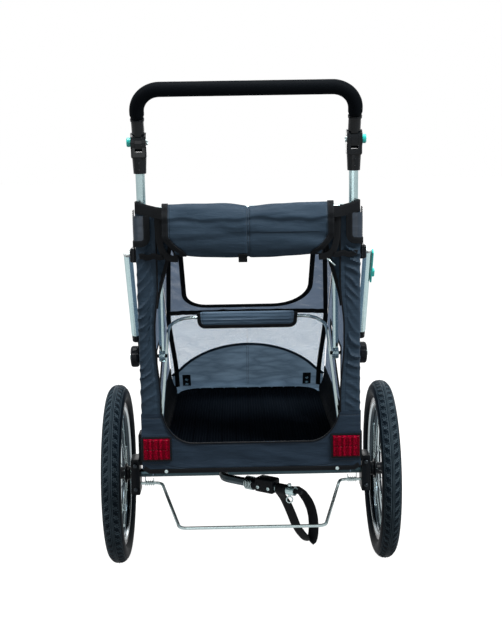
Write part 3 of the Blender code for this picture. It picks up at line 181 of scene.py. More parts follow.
def settle(obj: Piece, name: str) -> Piece:
    """Name a piece and put its place into its mesh.

    Args:
        obj: The piece.
        name: Its name.

    Returns:
        The same piece.
    """
    only(obj)
    bpy.ops.object.transform_apply(location=True, rotation=True, scale=True)
    obj.name = name
    obj.data.name = name
    return obj


def outward(obj: Piece, merge: float = MERGE) -> Piece:
    """Merge doubled points and turn every face outwards.

    Args:
        obj: The piece.
        merge: Distance within which points are merged.

    Returns:
        The same piece.
    """
    with editing(obj):
        bpy.ops.mesh.select_all(action="SELECT")
        bpy.ops.mesh.remove_doubles(threshold=merge)
        bpy.ops.mesh.normals_make_consistent(inside=False)
    return obj


def closed_up(obj: Piece) -> Piece:
    """Fill the open ends of a piece, turn every face outwards and smooth it.

    Args:
        obj: The open piece.

    Returns:
        The same piece.
    """
    with editing(obj):
        bpy.ops.mesh.select_mode(type="EDGE")
        bpy.ops.mesh.select_non_manifold(extend=False)
        bpy.ops.mesh.edge_face_add()
        bpy.ops.mesh.select_all(action="SELECT")
        bpy.ops.mesh.normals_make_consistent(inside=False)
    return smooth(obj, 60)


def modify(obj: Piece, kind: str, **settings: object) -> Piece:
    """Add one modifier with its settings and apply it.

    Args:
        obj: The piece.
        kind: The modifier's kind.
        settings: The modifier's own settings.

    Returns:
        The same piece.
    """
    only(obj)
    modifier = obj.modifiers.new(kind.lower(), kind)
    for key, value in settings.items():
        setattr(modifier, key, value)
    bpy.ops.object.modifier_apply(modifier=modifier.name)
    return obj


def smooth(obj: Piece, angle: float = 40.0) -> Piece:
    """Smooth shading with sharp edges past an angle in degrees.

    Args:
        obj: The piece.
        angle: Angle past which an edge stays sharp.

    Returns:
        The same piece.
    """
    only(obj)
    bpy.ops.object.shade_smooth_by_angle(angle=math.radians(angle))
    return obj


def merged(name: str, pieces: Sequence[Piece]) -> Piece:
    """Join several pieces into one named piece.

    Args:
        name: The piece's name.
        pieces: The pieces to join.

    Returns:
        The joined piece.
    """
    bpy.ops.object.select_all(action="DESELECT")
    for piece in pieces:
        piece.select_set(True)
    bpy.context.view_layer.objects.active = pieces[0]
    if len(pieces) > 1:
        bpy.ops.object.join()
    return settle(pieces[0], name)


def copied(obj: Piece, place: Matrix, name: str) -> Piece:
    """Copy a piece with its own mesh, moved by a matrix; a mirrored copy keeps its faces outwards.

    Args:
        obj: The piece to copy.
        place: Moves the copy.
        name: The copy's name.

    Returns:
        The copy.
    """
    twin = obj.copy()
    twin.data = obj.data.copy()
    bpy.context.scene.collection.objects.link(twin)
    twin.data.transform(place)
    if place.determinant() < 0:
        twin.data.flip_normals()
    twin.name = name
    twin.data.name = name
    return twin


def frame_matrix(origin: Vector, x_axis: Vector, y_axis: Vector) -> Matrix:
    """Matrix that puts a flat drawing's X and Y along two directions from an origin.

    Args:
        origin: Where the drawing's origin goes.
        x_axis: Direction of its X.
        y_axis: Direction of its Y.

    Returns:
        The matrix.
    """
    x_axis, y_axis = Vector(x_axis).normalized(), Vector(y_axis).normalized()
    turn = Matrix((x_axis, y_axis, x_axis.cross(y_axis))).transposed().to_4x4()
    return Matrix.Translation(origin) @ turn


def rounded_path(corners: Sequence[Vector], radii: Sequence[float] | float, steps: int = 6,
                 closed: bool = False) -> list[Vector]:
    """Points of a path whose corners are arcs.

    Args:
        corners: The path's corner points.
        radii: One radius for all corners, or one for each.
        steps: How many steps an arc has.
        closed: Whether the last corner runs on to the first.

    Returns:
        The path's points in order.
    """
    points: list[Vector] = []
    count = len(corners)
    for index, corner in enumerate(corners):
        radius = radii if isinstance(radii, float) else radii[index]
        here = Vector(corner)
        if radius <= 0.0 or (not closed and index in (0, count - 1)):
            points.append(here)
            continue
        back = (Vector(corners[index - 1]) - here).normalized()
        ahead = (Vector(corners[(index + 1) % count]) - here).normalized()
        half = back.angle(ahead) / 2
        centre = here + (back + ahead).normalized() * (radius / math.sin(half))
        first = here + back * (radius / math.tan(half)) - centre
        last = here + ahead * (radius / math.tan(half)) - centre
        sweep = first.angle(last)
        for step in range(steps + 1):
            share = step / steps
            points.append(centre + (first * math.sin((1 - share) * sweep)
                                    + last * math.sin(share * sweep)) / math.sin(sweep))
    return points


def resampled(points: Sequence[Vector], count: int, closed: bool = False) -> list[Vector]:
    """Evenly spaced points along a path.

    Args:
        points: The path.
        count: How many points are wanted.
        closed: Whether the path is a ring.

    Returns:
        The points in order.
    """
    line = [Vector(point) for point in points] + ([Vector(points[0])] if closed else [])
    lengths = [0.0]
    for first, second in zip(line, line[1:]):
        lengths.append(lengths[-1] + (second - first).length)
    result, index = [], 0
    for step in range(count):
        goal = lengths[-1] * step / (count if closed else count - 1)
        while index < len(line) - 2 and lengths[index + 1] < goal:
            index += 1
        share = (goal - lengths[index]) / max(lengths[index + 1] - lengths[index], 1e-9)
        result.append(line[index].lerp(line[index + 1], share))
    return result


def round_tube(name: str, points: Sequence[Vector], radius: float, closed: bool = False,
               fineness: int = 5, taper: Sequence[float] | None = None) -> Piece:
    """Round rod or tube drawn along a path.

    Args:
        name: The piece's name.
        points: The centre line.
        radius: The radius in metres.
        closed: Whether the path is a ring.
        fineness: Bevel resolution of the round section.
        taper: Share of the radius at each point.

    Returns:
        The mesh object.
    """
    path = added(bpy.ops.curve.primitive_nurbs_path_add)
    path.data.splines.clear()
    path.data.bevel_depth = radius
    path.data.bevel_resolution = fineness
    path.data.use_fill_caps = not closed
    path.data.twist_mode = "MINIMUM"
    spline = path.data.splines.new("POLY")
    spline.points.add(len(points) - 1)
    for index, point in enumerate(points):
        spline.points[index].co = (*point, 1.0)
        spline.points[index].radius = 1.0 if taper is None else taper[index]
    spline.use_cyclic_u = closed
    only(path)
    bpy.ops.object.convert(target="MESH")
    return smooth(outward(settle(bpy.context.object, name)), 50)


def grid_sheet(name: str, across: int, along: int, place: Place, size: tuple[float, float],
               seam: Callable[[float, float], float] | None = None) -> Piece:
    """Sheet whose points are set by a function of its two coordinates from 0 to 1.

    Args:
        name: The piece's name.
        across: Faces across.
        along: Faces along.
        place: Gives a point of the sheet.
        size: Width and length in metres, for the texture map.
        seam: Gives the distance from the nearest row of stitches in metres.

    Returns:
        The mesh object, still without thickness.
    """
    sheet = added(bpy.ops.mesh.primitive_grid_add, x_subdivisions=across, y_subdivisions=along, size=2.0)
    mesh = sheet.data
    spots = [((vertex.co.x + 1) / 2, (vertex.co.y + 1) / 2) for vertex in mesh.vertices]
    layer = mesh.uv_layers.active
    for loop in mesh.loops:
        u, v = spots[loop.vertex_index]
        layer.data[loop.index].uv = (u * size[0], v * size[1])
    rows = mesh.attributes.new("stitch_distance", "FLOAT", "POINT")
    for vertex, (u, v) in zip(mesh.vertices, spots):
        vertex.co = place(u, v)
        rows.data[vertex.index].value = seam(u, v) if seam else NO_SEAM
    return settle(sheet, name)


def bevelled(obj: Piece, width: float, segments: int, angle: float) -> Piece:
    """Round the edges of a piece that are sharper than an angle in degrees."""
    return modify(obj, "BEVEL", width=width, segments=segments, limit_method="ANGLE",
                  angle_limit=math.radians(angle))


def thickened(sheet: Piece, thickness: float, offset: float = 0.0, soft_edge: float = 0.0) -> Piece:
    """Give a sheet its thickness and a rounded edge, then smooth it.

    Args:
        sheet: The sheet.
        thickness: Thickness in metres.
        offset: Side that it grows to, from -1 to 1.
        soft_edge: Width of the edge rounding.

    Returns:
        The same piece.
    """
    modify(sheet, "SOLIDIFY", thickness=thickness, offset=offset, use_quality_normals=True)
    if soft_edge:
        bevelled(sheet, soft_edge, 2, 55)
    return smooth(sheet, 50)


def closed_sheet(sheet: Piece, thickness: float, offset: float) -> Piece:
    """Give a curved sheet its thickness, merge its seams and smooth it."""
    return smooth(outward(thickened(sheet, thickness, offset), FINE_MERGE), 60)


def webbing(name: str, path: Sequence[Vector], facing: Facing | Vector, width: float, thickness: float,
            closed: bool = False, soft_edge: float = 0.0005) -> Piece:
    """Flat woven band along a path.

    Args:
        name: The piece's name.
        path: The band's middle line.
        facing: Normal of its flat face, constant or by share of the length.
        width: Width in metres.
        thickness: Thickness in metres.
        closed: Whether the band is a ring.
        soft_edge: Rounding of its edges.

    Returns:
        The mesh object.
    """
    line = list(path) + ([path[0]] if closed else [])
    count = len(line)
    length = sum((second - first).length for first, second in zip(line, line[1:]))

    def place(u: float, v: float) -> Vector:
        """Point of the band across and along it."""
        index = min(count - 1, round(v * (count - 1)))
        before = line[index - 1] if index else (line[-2] if closed else line[0])
        after = line[index + 1] if index < count - 1 else (line[1] if closed else line[-1])
        normal = Vector(facing(index / (count - 1)) if callable(facing) else facing)
        side = (after - before).normalized().cross(normal).normalized()
        return line[index] + side * (u - 0.5) * width

    strip = grid_sheet(name, 4, count - 1, place, (width, length),
                       lambda u, v: min(u, 1 - u) * width - 0.0018)
    if closed:
        with editing(strip):
            bpy.ops.mesh.select_all(action="SELECT")
            bpy.ops.mesh.remove_doubles(threshold=MERGE)
    return thickened(strip, thickness, 0.0, soft_edge)


def by_share(ways: Sequence[Vector], closed: bool = False) -> Facing:
    """Direction picked from an even list by the share of a band's length."""
    count = len(ways) - (0 if closed else 1)
    return lambda share: ways[round(share * count) % len(ways)]


def turned(name: str, profile: Sequence[tuple[float, float]], place: Matrix, steps: int) -> Piece:
    """Closed outline of (radius, height) points spun round the local Z axis and put in place.

    Args:
        name: The piece's name.
        profile: The section's outline.
        place: Puts the turned piece where it belongs.
        steps: Steps of a full turn.

    Returns:
        The mesh object.
    """
    obj = added(bpy.ops.mesh.primitive_circle_add, vertices=len(profile), radius=1.0)
    for vertex, (radius, height) in zip(obj.data.vertices, profile):
        vertex.co = (radius, 0.0, height)
    only(obj)
    bpy.ops.object.mode_set(mode="EDIT")
    bpy.ops.mesh.select_all(action="SELECT")
    bpy.ops.mesh.spin(steps=steps, angle=math.tau, center=(0, 0, 0), axis=(0, 0, 1))
    bpy.ops.object.mode_set(mode="OBJECT")
    obj.data.transform(place)
    return outward(settle(obj, name), 0.00003)


def block(name: str, size: Sequence[float], place: Matrix, rounding: float, segments: int = 3,
          shape: Callable[[Piece], None] | None = None) -> Piece:
    """Moulded block with rounded edges, shaped further by a callback before the rounding.

    Args:
        name: The piece's name.
        size: Size along the local axes.
        place: Puts the block where it belongs.
        rounding: Width of the edge rounding.
        segments: Steps of the rounding.
        shape: Edits the block while it is still at the origin.

    Returns:
        The mesh object.
    """
    obj = settle(added(bpy.ops.mesh.primitive_cube_add, size=1.0, scale=tuple(size)), name)
    if shape:
        shape(obj)
    bevelled(obj, rounding, segments, 35)
    obj.data.transform(place)
    return smooth(obj, 40)


def inset_panel(axis: int, sign: float, margin: float, depth: float) -> Callable[[Piece], None]:
    """Shaping step that sinks a panel into the faces that look along one axis.

    Args:
        axis: Number of the axis.
        sign: Which way the faces look along it.
        margin: Width of the rim left round the panel.
        depth: How deep the panel sinks.

    Returns:
        The shaping step.
    """

    def shape(obj: Piece) -> None:
        """Sink the panel into one block."""
        with editing(obj) as mesh:
            pick_faces(obj, mesh, lambda centre, normal: normal[axis] * sign > 0.9)
            bpy.ops.mesh.inset(thickness=margin, depth=-depth)

    return shape


def screw_head(name: str, centre: Vector, direction: Vector, radius: float, height: float) -> Piece:
    """Domed screw head with a six-sided socket, looking along a direction.

    Args:
        name: The piece's name.
        centre: Middle of the head.
        direction: Way that it looks.
        radius: Radius in metres.
        height: Height in metres.

    Returns:
        The mesh object.
    """
    head = settle(added(bpy.ops.mesh.primitive_cylinder_add, vertices=12, radius=radius, depth=height), name)
    with editing(head) as mesh:
        pick_faces(head, mesh, lambda middle, normal: normal.z > 0.9)
        bpy.ops.mesh.inset(thickness=radius * 0.28, depth=height * 0.25)
        bpy.ops.mesh.inset(thickness=radius * 0.16, depth=0.0)
        bpy.ops.mesh.inset(thickness=radius * 0.04, depth=-height * 0.6)
    turn = Vector(direction).to_track_quat("Z", "X").to_matrix().to_4x4()
    head.data.transform(Matrix.Translation(centre) @ turn)
    return smooth(head, 35)


def screws(name: str, spots: Sequence[Vector], direction: Vector, size: tuple[float, float]) -> Piece:
    """Like screw heads of a radius and height that look one way, as one piece."""
    return merged(name, [screw_head(name, spot, direction, *size) for spot in spots])


def rod_between(name: str, start: Vector, end: Vector, radius: float, fineness: int = 4) -> Piece:
    """Straight round rod with softened ends.

    Args:
        name: The piece's name.
        start: One end.
        end: The other end.
        radius: Radius in metres.
        fineness: Bevel resolution of the round section.

    Returns:
        The mesh object.
    """
    start, end = Vector(start), Vector(end)
    run = end - start
    ease = min(radius * 0.35, run.length * 0.2)
    way = run.normalized()
    points = [start, start + way * ease, end - way * ease, end]
    return round_tube(name, points, radius, fineness=fineness, taper=[0.72, 1.0, 1.0, 0.72])


# Finishes
class Wiring:
    """Adds and links the nodes of one shader tree."""

    def __init__(self, tree: NodeTree) -> None:
        """Keep the tree that the nodes go into."""
        self.tree = tree

    def add(self, kind: str, **settings: object) -> Node:
        """Add a node; settings are its attributes.

        Args:
            kind: The node's kind.
            settings: Its attributes.

        Returns:
            The node.
        """
        node = self.tree.nodes.new(kind)
        for key, value in settings.items():
            setattr(node, key, value)
        return node

    def link(self, source: Socket, target: Socket) -> None:
        """Connect two sockets."""
        self.tree.links.new(source, target)

    def math(self, operation: str, *values: object) -> Socket:
        """Math node whose inputs are sockets or numbers.

        Args:
            operation: The node's operation.
            values: Sockets or numbers for its inputs.

        Returns:
            Socket of the result.
        """
        node = self.add("ShaderNodeMath", operation=operation)
        for socket, value in zip(node.inputs, values):
            if isinstance(value, Socket):
                self.link(value, socket)
            else:
                socket.default_value = value
        return node.outputs[0]

    def noise(self, vector: Socket, scale: float, detail: float = 2.0) -> Socket:
        """Noise texture's value on a vector.

        Args:
            vector: Socket of the texture's vector.
            scale: The texture's scale.
            detail: The texture's detail.

        Returns:
            Socket of the value.
        """
        node = self.add("ShaderNodeTexNoise")
        node.inputs["Scale"].default_value = scale
        node.inputs["Detail"].default_value = detail
        self.link(vector, node.inputs["Vector"])
        return node.outputs["Fac"]

    def between(self, factor: Socket, first: Tone | Socket, second: Tone | Socket) -> Socket:
        """Colour between two colours, each given or linked, by a factor.

        Args:
            factor: Socket of the second colour's share.
            first: Colour at 0.
            second: Colour at 1.

        Returns:
            Socket of the colour.
        """
        node = self.add("ShaderNodeMix", data_type="RGBA")
        for socket, value in zip([entry for entry in node.inputs if entry.type == "RGBA"], (first, second)):
            if isinstance(value, Socket):
                self.link(value, socket)
            else:
                socket.default_value = (*value, 1.0)
        self.link(factor, node.inputs["Factor"])
        return next(socket for socket in node.outputs if socket.type == "RGBA")

    def dust(self, coords: Node) -> Socket:
        """Soft cloudy value of the handling marks on object coordinates."""
        return self.group(MARKS, Vector=coords.outputs["Object"]).outputs["Dust"]

    def parts(self, vector: Socket) -> Node:
        """Node that gives a vector's X, Y and Z.

        Args:
            vector: Socket of the vector.

        Returns:
            The node.
        """
        node = self.add("ShaderNodeSeparateXYZ")
        self.link(vector, node.inputs[0])
        return node

    def range(self, value: Socket, low: float, high: float) -> Socket:
        """Value from 0 to 1 mapped to a new range.

        Args:
            value: Socket of the value.
            low: Result at 0.
            high: Result at 1.

        Returns:
            Socket of the result.
        """
        node = self.add("ShaderNodeMapRange")
        node.inputs["To Min"].default_value = low
        node.inputs["To Max"].default_value = high
        self.link(value, node.inputs["Value"])
        return node.outputs["Result"]

    def group(self, tree: NodeTree, **inputs: object) -> Node:
        """Add a node group with its inputs linked or set.

        Args:
            tree: The group's tree.
            inputs: Sockets or numbers for its inputs, by name.

        Returns:
            The group's node.
        """
        node = self.add("ShaderNodeGroup", node_tree=tree)
        for key, value in inputs.items():
            socket = node.inputs[key.replace("_", " ")]
            if isinstance(value, Socket):
                self.link(value, socket)
            else:
                socket.default_value = value
        return node


def new_group(name: str, inputs: Sequence[tuple[str, str]], outputs: Sequence[str]
              ) -> tuple[NodeTree, Wiring, Node, Node]:
    """Empty shader node group with its sockets.

    Args:
        name: The group's name.
        inputs: Name and kind of each input.
        outputs: Names of its value outputs.

    Returns:
        The tree, its wiring, and its input and output nodes.
    """
    tree = bpy.data.node_groups.new(name, "ShaderNodeTree")
    for label, kind in inputs:
        tree.interface.new_socket(label, in_out="INPUT", socket_type=kind)
    for label in outputs:
        tree.interface.new_socket(label, in_out="OUTPUT", socket_type="NodeSocketFloat")
    wiring = Wiring(tree)
    return tree, wiring, wiring.add("NodeGroupInput"), wiring.add("NodeGroupOutput")


def weave_group() -> NodeTree:
    """Plain weave: crossing threads, as a height and a shade.

    Returns:
        The group's tree.
    """
    tree, wire, source, target = new_group(
        "plain_weave", [("Vector", "NodeSocketVector"), ("Threads", "NodeSocketFloat")], ["Height", "Shade"])
    split = wire.parts(source.outputs["Vector"])
    turns = wire.math("MULTIPLY", source.outputs["Threads"], math.pi)
    warp = wire.math("SINE", wire.math("MULTIPLY", split.outputs["X"], turns))
    weft = wire.math("SINE", wire.math("MULTIPLY", split.outputs["Y"], turns))
    over = wire.math("MULTIPLY", warp, weft)
    ridges = wire.math("MAXIMUM", wire.math("ABSOLUTE", warp), wire.math("ABSOLUTE", weft))
    height = wire.math("MULTIPLY_ADD", over, 0.25, wire.math("MULTIPLY", ridges, 0.75))
    wire.link(height, target.inputs["Height"])
    wire.link(wire.math("MULTIPLY_ADD", over, 0.5, 0.5), target.inputs["Shade"])
    return tree


def stitch_group() -> NodeTree:
    """Row of sewn stitches beside a line, as a thread mask and a sunken line.

    Returns:
        The group's tree.
    """
    tree, wire, source, target = new_group(
        "stitch_row", [("Vector", "NodeSocketVector"), ("Distance", "NodeSocketFloat")], ["Thread", "Dip"])
    split = wire.parts(source.outputs["Vector"])
    along = wire.math("ADD", split.outputs["X"], split.outputs["Y"])
    wave = wire.math("SINE", wire.math("MULTIPLY", along, math.tau / STITCH_PITCH))
    dash = wire.math("GREATER_THAN", wave, -0.35)
    away = wire.math("ABSOLUTE", source.outputs["Distance"])
    wire.link(wire.math("MULTIPLY", dash, wire.math("LESS_THAN", away, 0.0006)), target.inputs["Thread"])
    near = wire.math("SUBTRACT", 1.0, wire.math("MINIMUM", wire.math("DIVIDE", away, 0.0022), 1.0))
    wire.link(near, target.inputs["Dip"])
    return tree


def marks_group() -> NodeTree:
    """Fine scratches and handling marks, as a streak and a dust value.

    Returns:
        The group's tree.
    """
    tree, wire, source, target = new_group(
        "handling_marks", [("Vector", "NodeSocketVector")], ["Streak", "Dust"])
    wire.link(wire.noise(source.outputs["Vector"], 900.0, 3.0), target.inputs["Streak"])
    wire.link(wire.noise(source.outputs["Vector"], 28.0, 4.0), target.inputs["Dust"])
    return tree


def crumple_group() -> NodeTree:
    """Soft creases of handled cloth, as a height; cloth uses it for its bump and for painted shade in its
    colour.

    Returns:
        The group's tree.
    """
    tree, wire, source, target = new_group("soft_creases", [("Vector", "NodeSocketVector")], ["Height"])
    turned_vector = wire.add("ShaderNodeMapping")
    turned_vector.inputs["Rotation"].default_value = (0.0, 0.65, 0.0)
    turned_vector.inputs["Scale"].default_value = (0.45, 1.0, 1.7)
    wire.link(source.outputs["Vector"], turned_vector.inputs["Vector"])
    bent = wire.noise(turned_vector.outputs["Vector"], 24.0, 3.0)
    ridge = wire.math("ABSOLUTE", wire.math("SUBTRACT", bent, 0.5))
    wire.link(wire.math("MULTIPLY", ridge, 3.4), target.inputs["Height"])
    return tree


WEAVE = weave_group()
STITCH = stitch_group()
MARKS = marks_group()
CREASES = crumple_group()


@dataclass(frozen=True)
class Finish:
    """Common start of every finish: a name, a slot name that nothing uses, and two tones."""

    name: str
    slot: str
    tone: Tone
    second_tone: Tone
    roughness: float
    specular: float = 0.10

    def start(self) -> tuple[Material, Wiring, Node, Node]:
        """New node material with its wiring, shader and texture coordinates.

        Returns:
            The material, its wiring, its shader and its texture coordinates.
        """
        material = bpy.data.materials.new(self.name)
        material.use_nodes = True
        wire = Wiring(material.node_tree)
        shader = material.node_tree.nodes["Principled BSDF"]
        shader.inputs["Roughness"].default_value = self.roughness
        shader.inputs["Specular IOR Level"].default_value = self.specular
        self.slot
        return material, wire, shader, wire.add("ShaderNodeTexCoord")

    def relief(self, wire: Wiring, shader: Node, height: Socket, depth: float) -> None:
        """Link a height to the shader's normal through a bump of a depth in metres.

        Args:
            wire: The material's wiring.
            shader: Its shader.
            height: Socket of the height.
            depth: Depth at a height of 1.
        """
        node = wire.add("ShaderNodeBump")
        node.inputs["Distance"].default_value = depth
        node.inputs["Strength"].default_value = 1.0
        wire.link(height, node.inputs["Height"])
        wire.link(node.outputs["Normal"], shader.inputs["Normal"])


@dataclass(frozen=True)
class Metal(Finish):
    """Drawn or plated metal with fine marks."""

    def make(self) -> Material:
        """Build the material.

        Returns:
            The material.
        """
        material, wire, shader, coords = self.start()
        shader.inputs["Metallic"].default_value = 1.0
        marks = wire.group(MARKS, Vector=coords.outputs["Object"])
        colour = wire.between(marks.outputs["Dust"], self.tone, self.second_tone)
        wire.link(colour, shader.inputs["Base Color"])
        rough = wire.range(marks.outputs["Streak"], self.roughness * 0.75, self.roughness * 1.35)
        wire.link(rough, shader.inputs["Roughness"])
        self.relief(wire, shader, marks.outputs["Streak"], 0.00003)
        return material


@dataclass(frozen=True)
class Moulded(Finish):
    """Moulded plastic or rubber with a fine grain, paler on worn edges."""

    grain: float = 1400.0
    depth: float = 0.00006
    coat: float = 0.0

    def make(self) -> Material:
        """Build the material.

        Returns:
            The material.
        """
        material, wire, shader, coords = self.start()
        shader.inputs["Coat Weight"].default_value = self.coat
        shader.inputs["Coat Roughness"].default_value = 0.12
        dust = wire.dust(coords)
        wear = wire.math("GREATER_THAN", wire.add("ShaderNodeNewGeometry").outputs["Pointiness"], 0.62)
        shade = wire.math("MULTIPLY_ADD", wear, 0.35, wire.math("MULTIPLY", dust, 0.6))
        shade = wire.math("MINIMUM", shade, 1.0)
        wire.link(wire.between(shade, self.tone, self.second_tone), shader.inputs["Base Color"])
        wire.link(wire.range(dust, self.roughness * 0.85, self.roughness * 1.2), shader.inputs["Roughness"])
        self.relief(wire, shader, wire.noise(coords.outputs["Object"], self.grain, 1.0), self.depth)
        return material


@dataclass(frozen=True)
class Cloth(Finish):
    """Woven cloth with stitches beside its seams; open cloth has holes between its threads. Its colour
    carries painted shade, darker along the crease lines, and a cloth with glow gives off painted light.
    """

    threads: float = 1300.0
    creases: float = 0.0014
    # folds: share of painted shade from the creases in the colour
    folds: float = 0.25
    coat: float = 0.0
    holes: float = 0.0
    hole_pitch: float = 0.0022
    thread_tone: Tone = (0.034, 0.044, 0.056)
    # glow: strength of painted light, the cloth's own colour given off as emission
    glow: float = 0.0
    by_map: bool = True

    def make(self) -> Material:
        """Build the material.

        Returns:
            The material.
        """
        material, wire, shader, coords = self.start()
        shader.inputs["Coat Weight"].default_value = self.coat
        shader.inputs["Coat Roughness"].default_value = 0.34
        lay = coords.outputs["UV" if self.by_map else "Object"]
        weave = wire.group(WEAVE, Vector=lay, Threads=self.threads)
        creases = wire.group(CREASES, Vector=coords.outputs["Object"]).outputs["Height"]
        tone = wire.math("MULTIPLY_ADD", weave.outputs["Shade"], 0.30,
                         wire.math("MULTIPLY", wire.noise(coords.outputs["Object"], 16.0, 3.0), 0.45))
        # Painted shade: the crease height lightens the colour away from the crease lines and leaves them
        # darker; the weave and the noise are the cloth's own tone.
        tone = wire.math("MINIMUM", wire.math("MULTIPLY_ADD", creases, self.folds, tone), 1.0)
        colour = wire.between(tone, self.tone, self.second_tone)
        height = wire.math("MULTIPLY_ADD", weave.outputs["Height"], 0.06, creases)
        if self.by_map:
            distance = wire.add("ShaderNodeAttribute", attribute_name="stitch_distance")
            row = wire.group(STITCH, Vector=lay, Distance=distance.outputs["Fac"])
            height = wire.math("SUBTRACT", height, wire.math("MULTIPLY", row.outputs["Dip"], 0.5))
            colour = wire.between(row.outputs["Thread"], colour, self.thread_tone)
        wire.link(colour, shader.inputs["Base Color"])
        # Painted light: the cloth gives off its own colour as emission, though it is no lamp.
        if self.glow:
            wire.link(colour, shader.inputs["Emission Color"])
            shader.inputs["Emission Strength"].default_value = self.glow
        if self.holes:
            grid = wire.group(WEAVE, Vector=lay, Threads=2.0 / self.hole_pitch)
            wire.link(wire.math("GREATER_THAN", grid.outputs["Height"], self.holes), shader.inputs["Alpha"])
        self.relief(wire, shader, height, self.creases)
        return material


@dataclass(frozen=True)
class Lens(Finish):
    """Clear coloured reflector over small prisms, its red lighter and darker along ribs and over cells as
    painted glints.
    """

    def make(self) -> Material:
        """Build the material.

        Returns:
            The material.
        """
        material, wire, shader, coords = self.start()
        shader.inputs["Coat Weight"].default_value = 0.02
        shader.inputs["Coat Roughness"].default_value = 0.10
        cells = wire.add("ShaderNodeTexVoronoi")
        cells.inputs["Scale"].default_value = 420.0
        wire.link(coords.outputs["Object"], cells.inputs["Vector"])
        # Painted reflection: the red goes between a bright and a dark tone along vertical ribs and over small
        # cells, standing in for the prisms' glints.
        split = wire.parts(coords.outputs["Object"])
        rib = wire.math("SINE", wire.math("MULTIPLY", split.outputs["X"], math.tau / 0.0105))
        painted_glint = wire.math("MULTIPLY_ADD", rib, 0.38, wire.math("MULTIPLY", cells.outputs["Distance"], 1.6))
        wire.link(wire.between(painted_glint, self.tone, self.second_tone), shader.inputs["Base Color"])
        self.relief(wire, shader, cells.outputs["Distance"], 0.0004)
        return material


@dataclass(frozen=True)
class Treaded(Finish):
    """Tyre rubber with a painted highlight along the edges of its cuts, stronger where the marks' dust value
    is higher; its grooves keep the dark base tone.
    """

    edge_highlight_tone: Tone = (0.085, 0.120, 0.145)

    def make(self) -> Material:
        """Build the material.

        Returns:
            The material.
        """
        material, wire, shader, coords = self.start()
        depth = wire.add("ShaderNodeAttribute", attribute_name="tread_depth").outputs["Fac"]
        dust = wire.dust(coords)
        colour = wire.between(dust, self.tone, self.second_tone)
        # Painted highlight: a pale tone where the share is halfway, along the edges of the cuts.
        edge = wire.math("MULTIPLY", wire.math("MULTIPLY", depth, wire.math("SUBTRACT", 1.0, depth)), 4.0)
        edge = wire.math("POWER", edge, 4.0)
        painted_edge_highlight = wire.math("MULTIPLY", edge, wire.math("ADD", dust, 0.25))
        wire.link(wire.between(painted_edge_highlight, colour, self.edge_highlight_tone), shader.inputs["Base Color"])
        self.relief(wire, shader, wire.noise(coords.outputs["Object"], 500.0, 1.0), 0.0002)
        return material


@dataclass(frozen=True)
class RibbedMat(Finish):
    """Rubber floor mat with fine ribs along its length."""

    pitch: float = 0.0062

    def make(self) -> Material:
        """Build the material.

        Returns:
            The material.
        """
        material, wire, shader, coords = self.start()
        split = wire.parts(coords.outputs["Object"])
        rib = wire.math("SINE", wire.math("MULTIPLY", split.outputs["X"], math.tau / self.pitch))
        rib = wire.math("MULTIPLY_ADD", rib, 0.5, 0.5)
        dust = wire.dust(coords)
        wire.link(wire.between(wire.math("MULTIPLY", rib, dust), self.tone, self.second_tone),
                  shader.inputs["Base Color"])
        grain = wire.noise(coords.outputs["Object"], 1600.0, 1.0)
        self.relief(wire, shader, wire.math("MULTIPLY_ADD", grain, 0.15, rib), 0.0008)
        return material


ALUMINIUM = Metal("aluminium_tube_finish", "aluminium_tube", (0.60, 0.77, 0.79), (0.46, 0.62, 0.64),
                  0.25).make()
AXLE_METAL = Metal("axle_tube_finish", "aluminium_tube", (0.050, 0.085, 0.100), (0.030, 0.055, 0.066),
                   0.30).make()
STEEL = Metal("plated_steel_finish", "steel", (0.56, 0.68, 0.69), (0.42, 0.52, 0.53), 0.22).make()
RIM_METAL = Metal("rim_finish", "aluminium_tube", (0.66, 0.74, 0.77), (0.50, 0.57, 0.60), 0.20).make()
RIM_BLACK = Metal("black_rim_finish", "aluminium_tube", (0.034, 0.048, 0.058), (0.060, 0.078, 0.090),
                  0.14).make()
ARM_METAL = Metal("tow_arm_finish", "aluminium_tube", (0.055, 0.075, 0.085), (0.10, 0.13, 0.145), 0.34).make()
DARK_STEEL = Metal("dark_steel_finish", "steel", (0.030, 0.038, 0.045), (0.060, 0.070, 0.080), 0.34).make()
SLATE = Cloth("slate_fabric_finish", "slate_fabric", (0.0165, 0.0305, 0.0480), (0.0350, 0.0590, 0.0880),
              0.50, 0.08).make()
# Shaded copy of the slate cloth: darker tones of the same cloth, painted shade for the lower rear panel.
SHADED_SLATE = Cloth("shaded_slate_fabric_finish", "slate_fabric", (0.0110, 0.0205, 0.0340),
                   (0.0240, 0.0410, 0.0640), 0.50, 0.08).make()
# Lit copy of the slate cloth: paler tones and a glow as painted light, with strong painted shade along its
# creases.
LIT_GLOWING_SLATE = Cloth("painted_light_slate_fabric_finish", "slate_fabric", (0.034, 0.058, 0.086), (0.120, 0.180, 0.245),
                   0.52, 0.10, glow=0.62, folds=0.9).make()
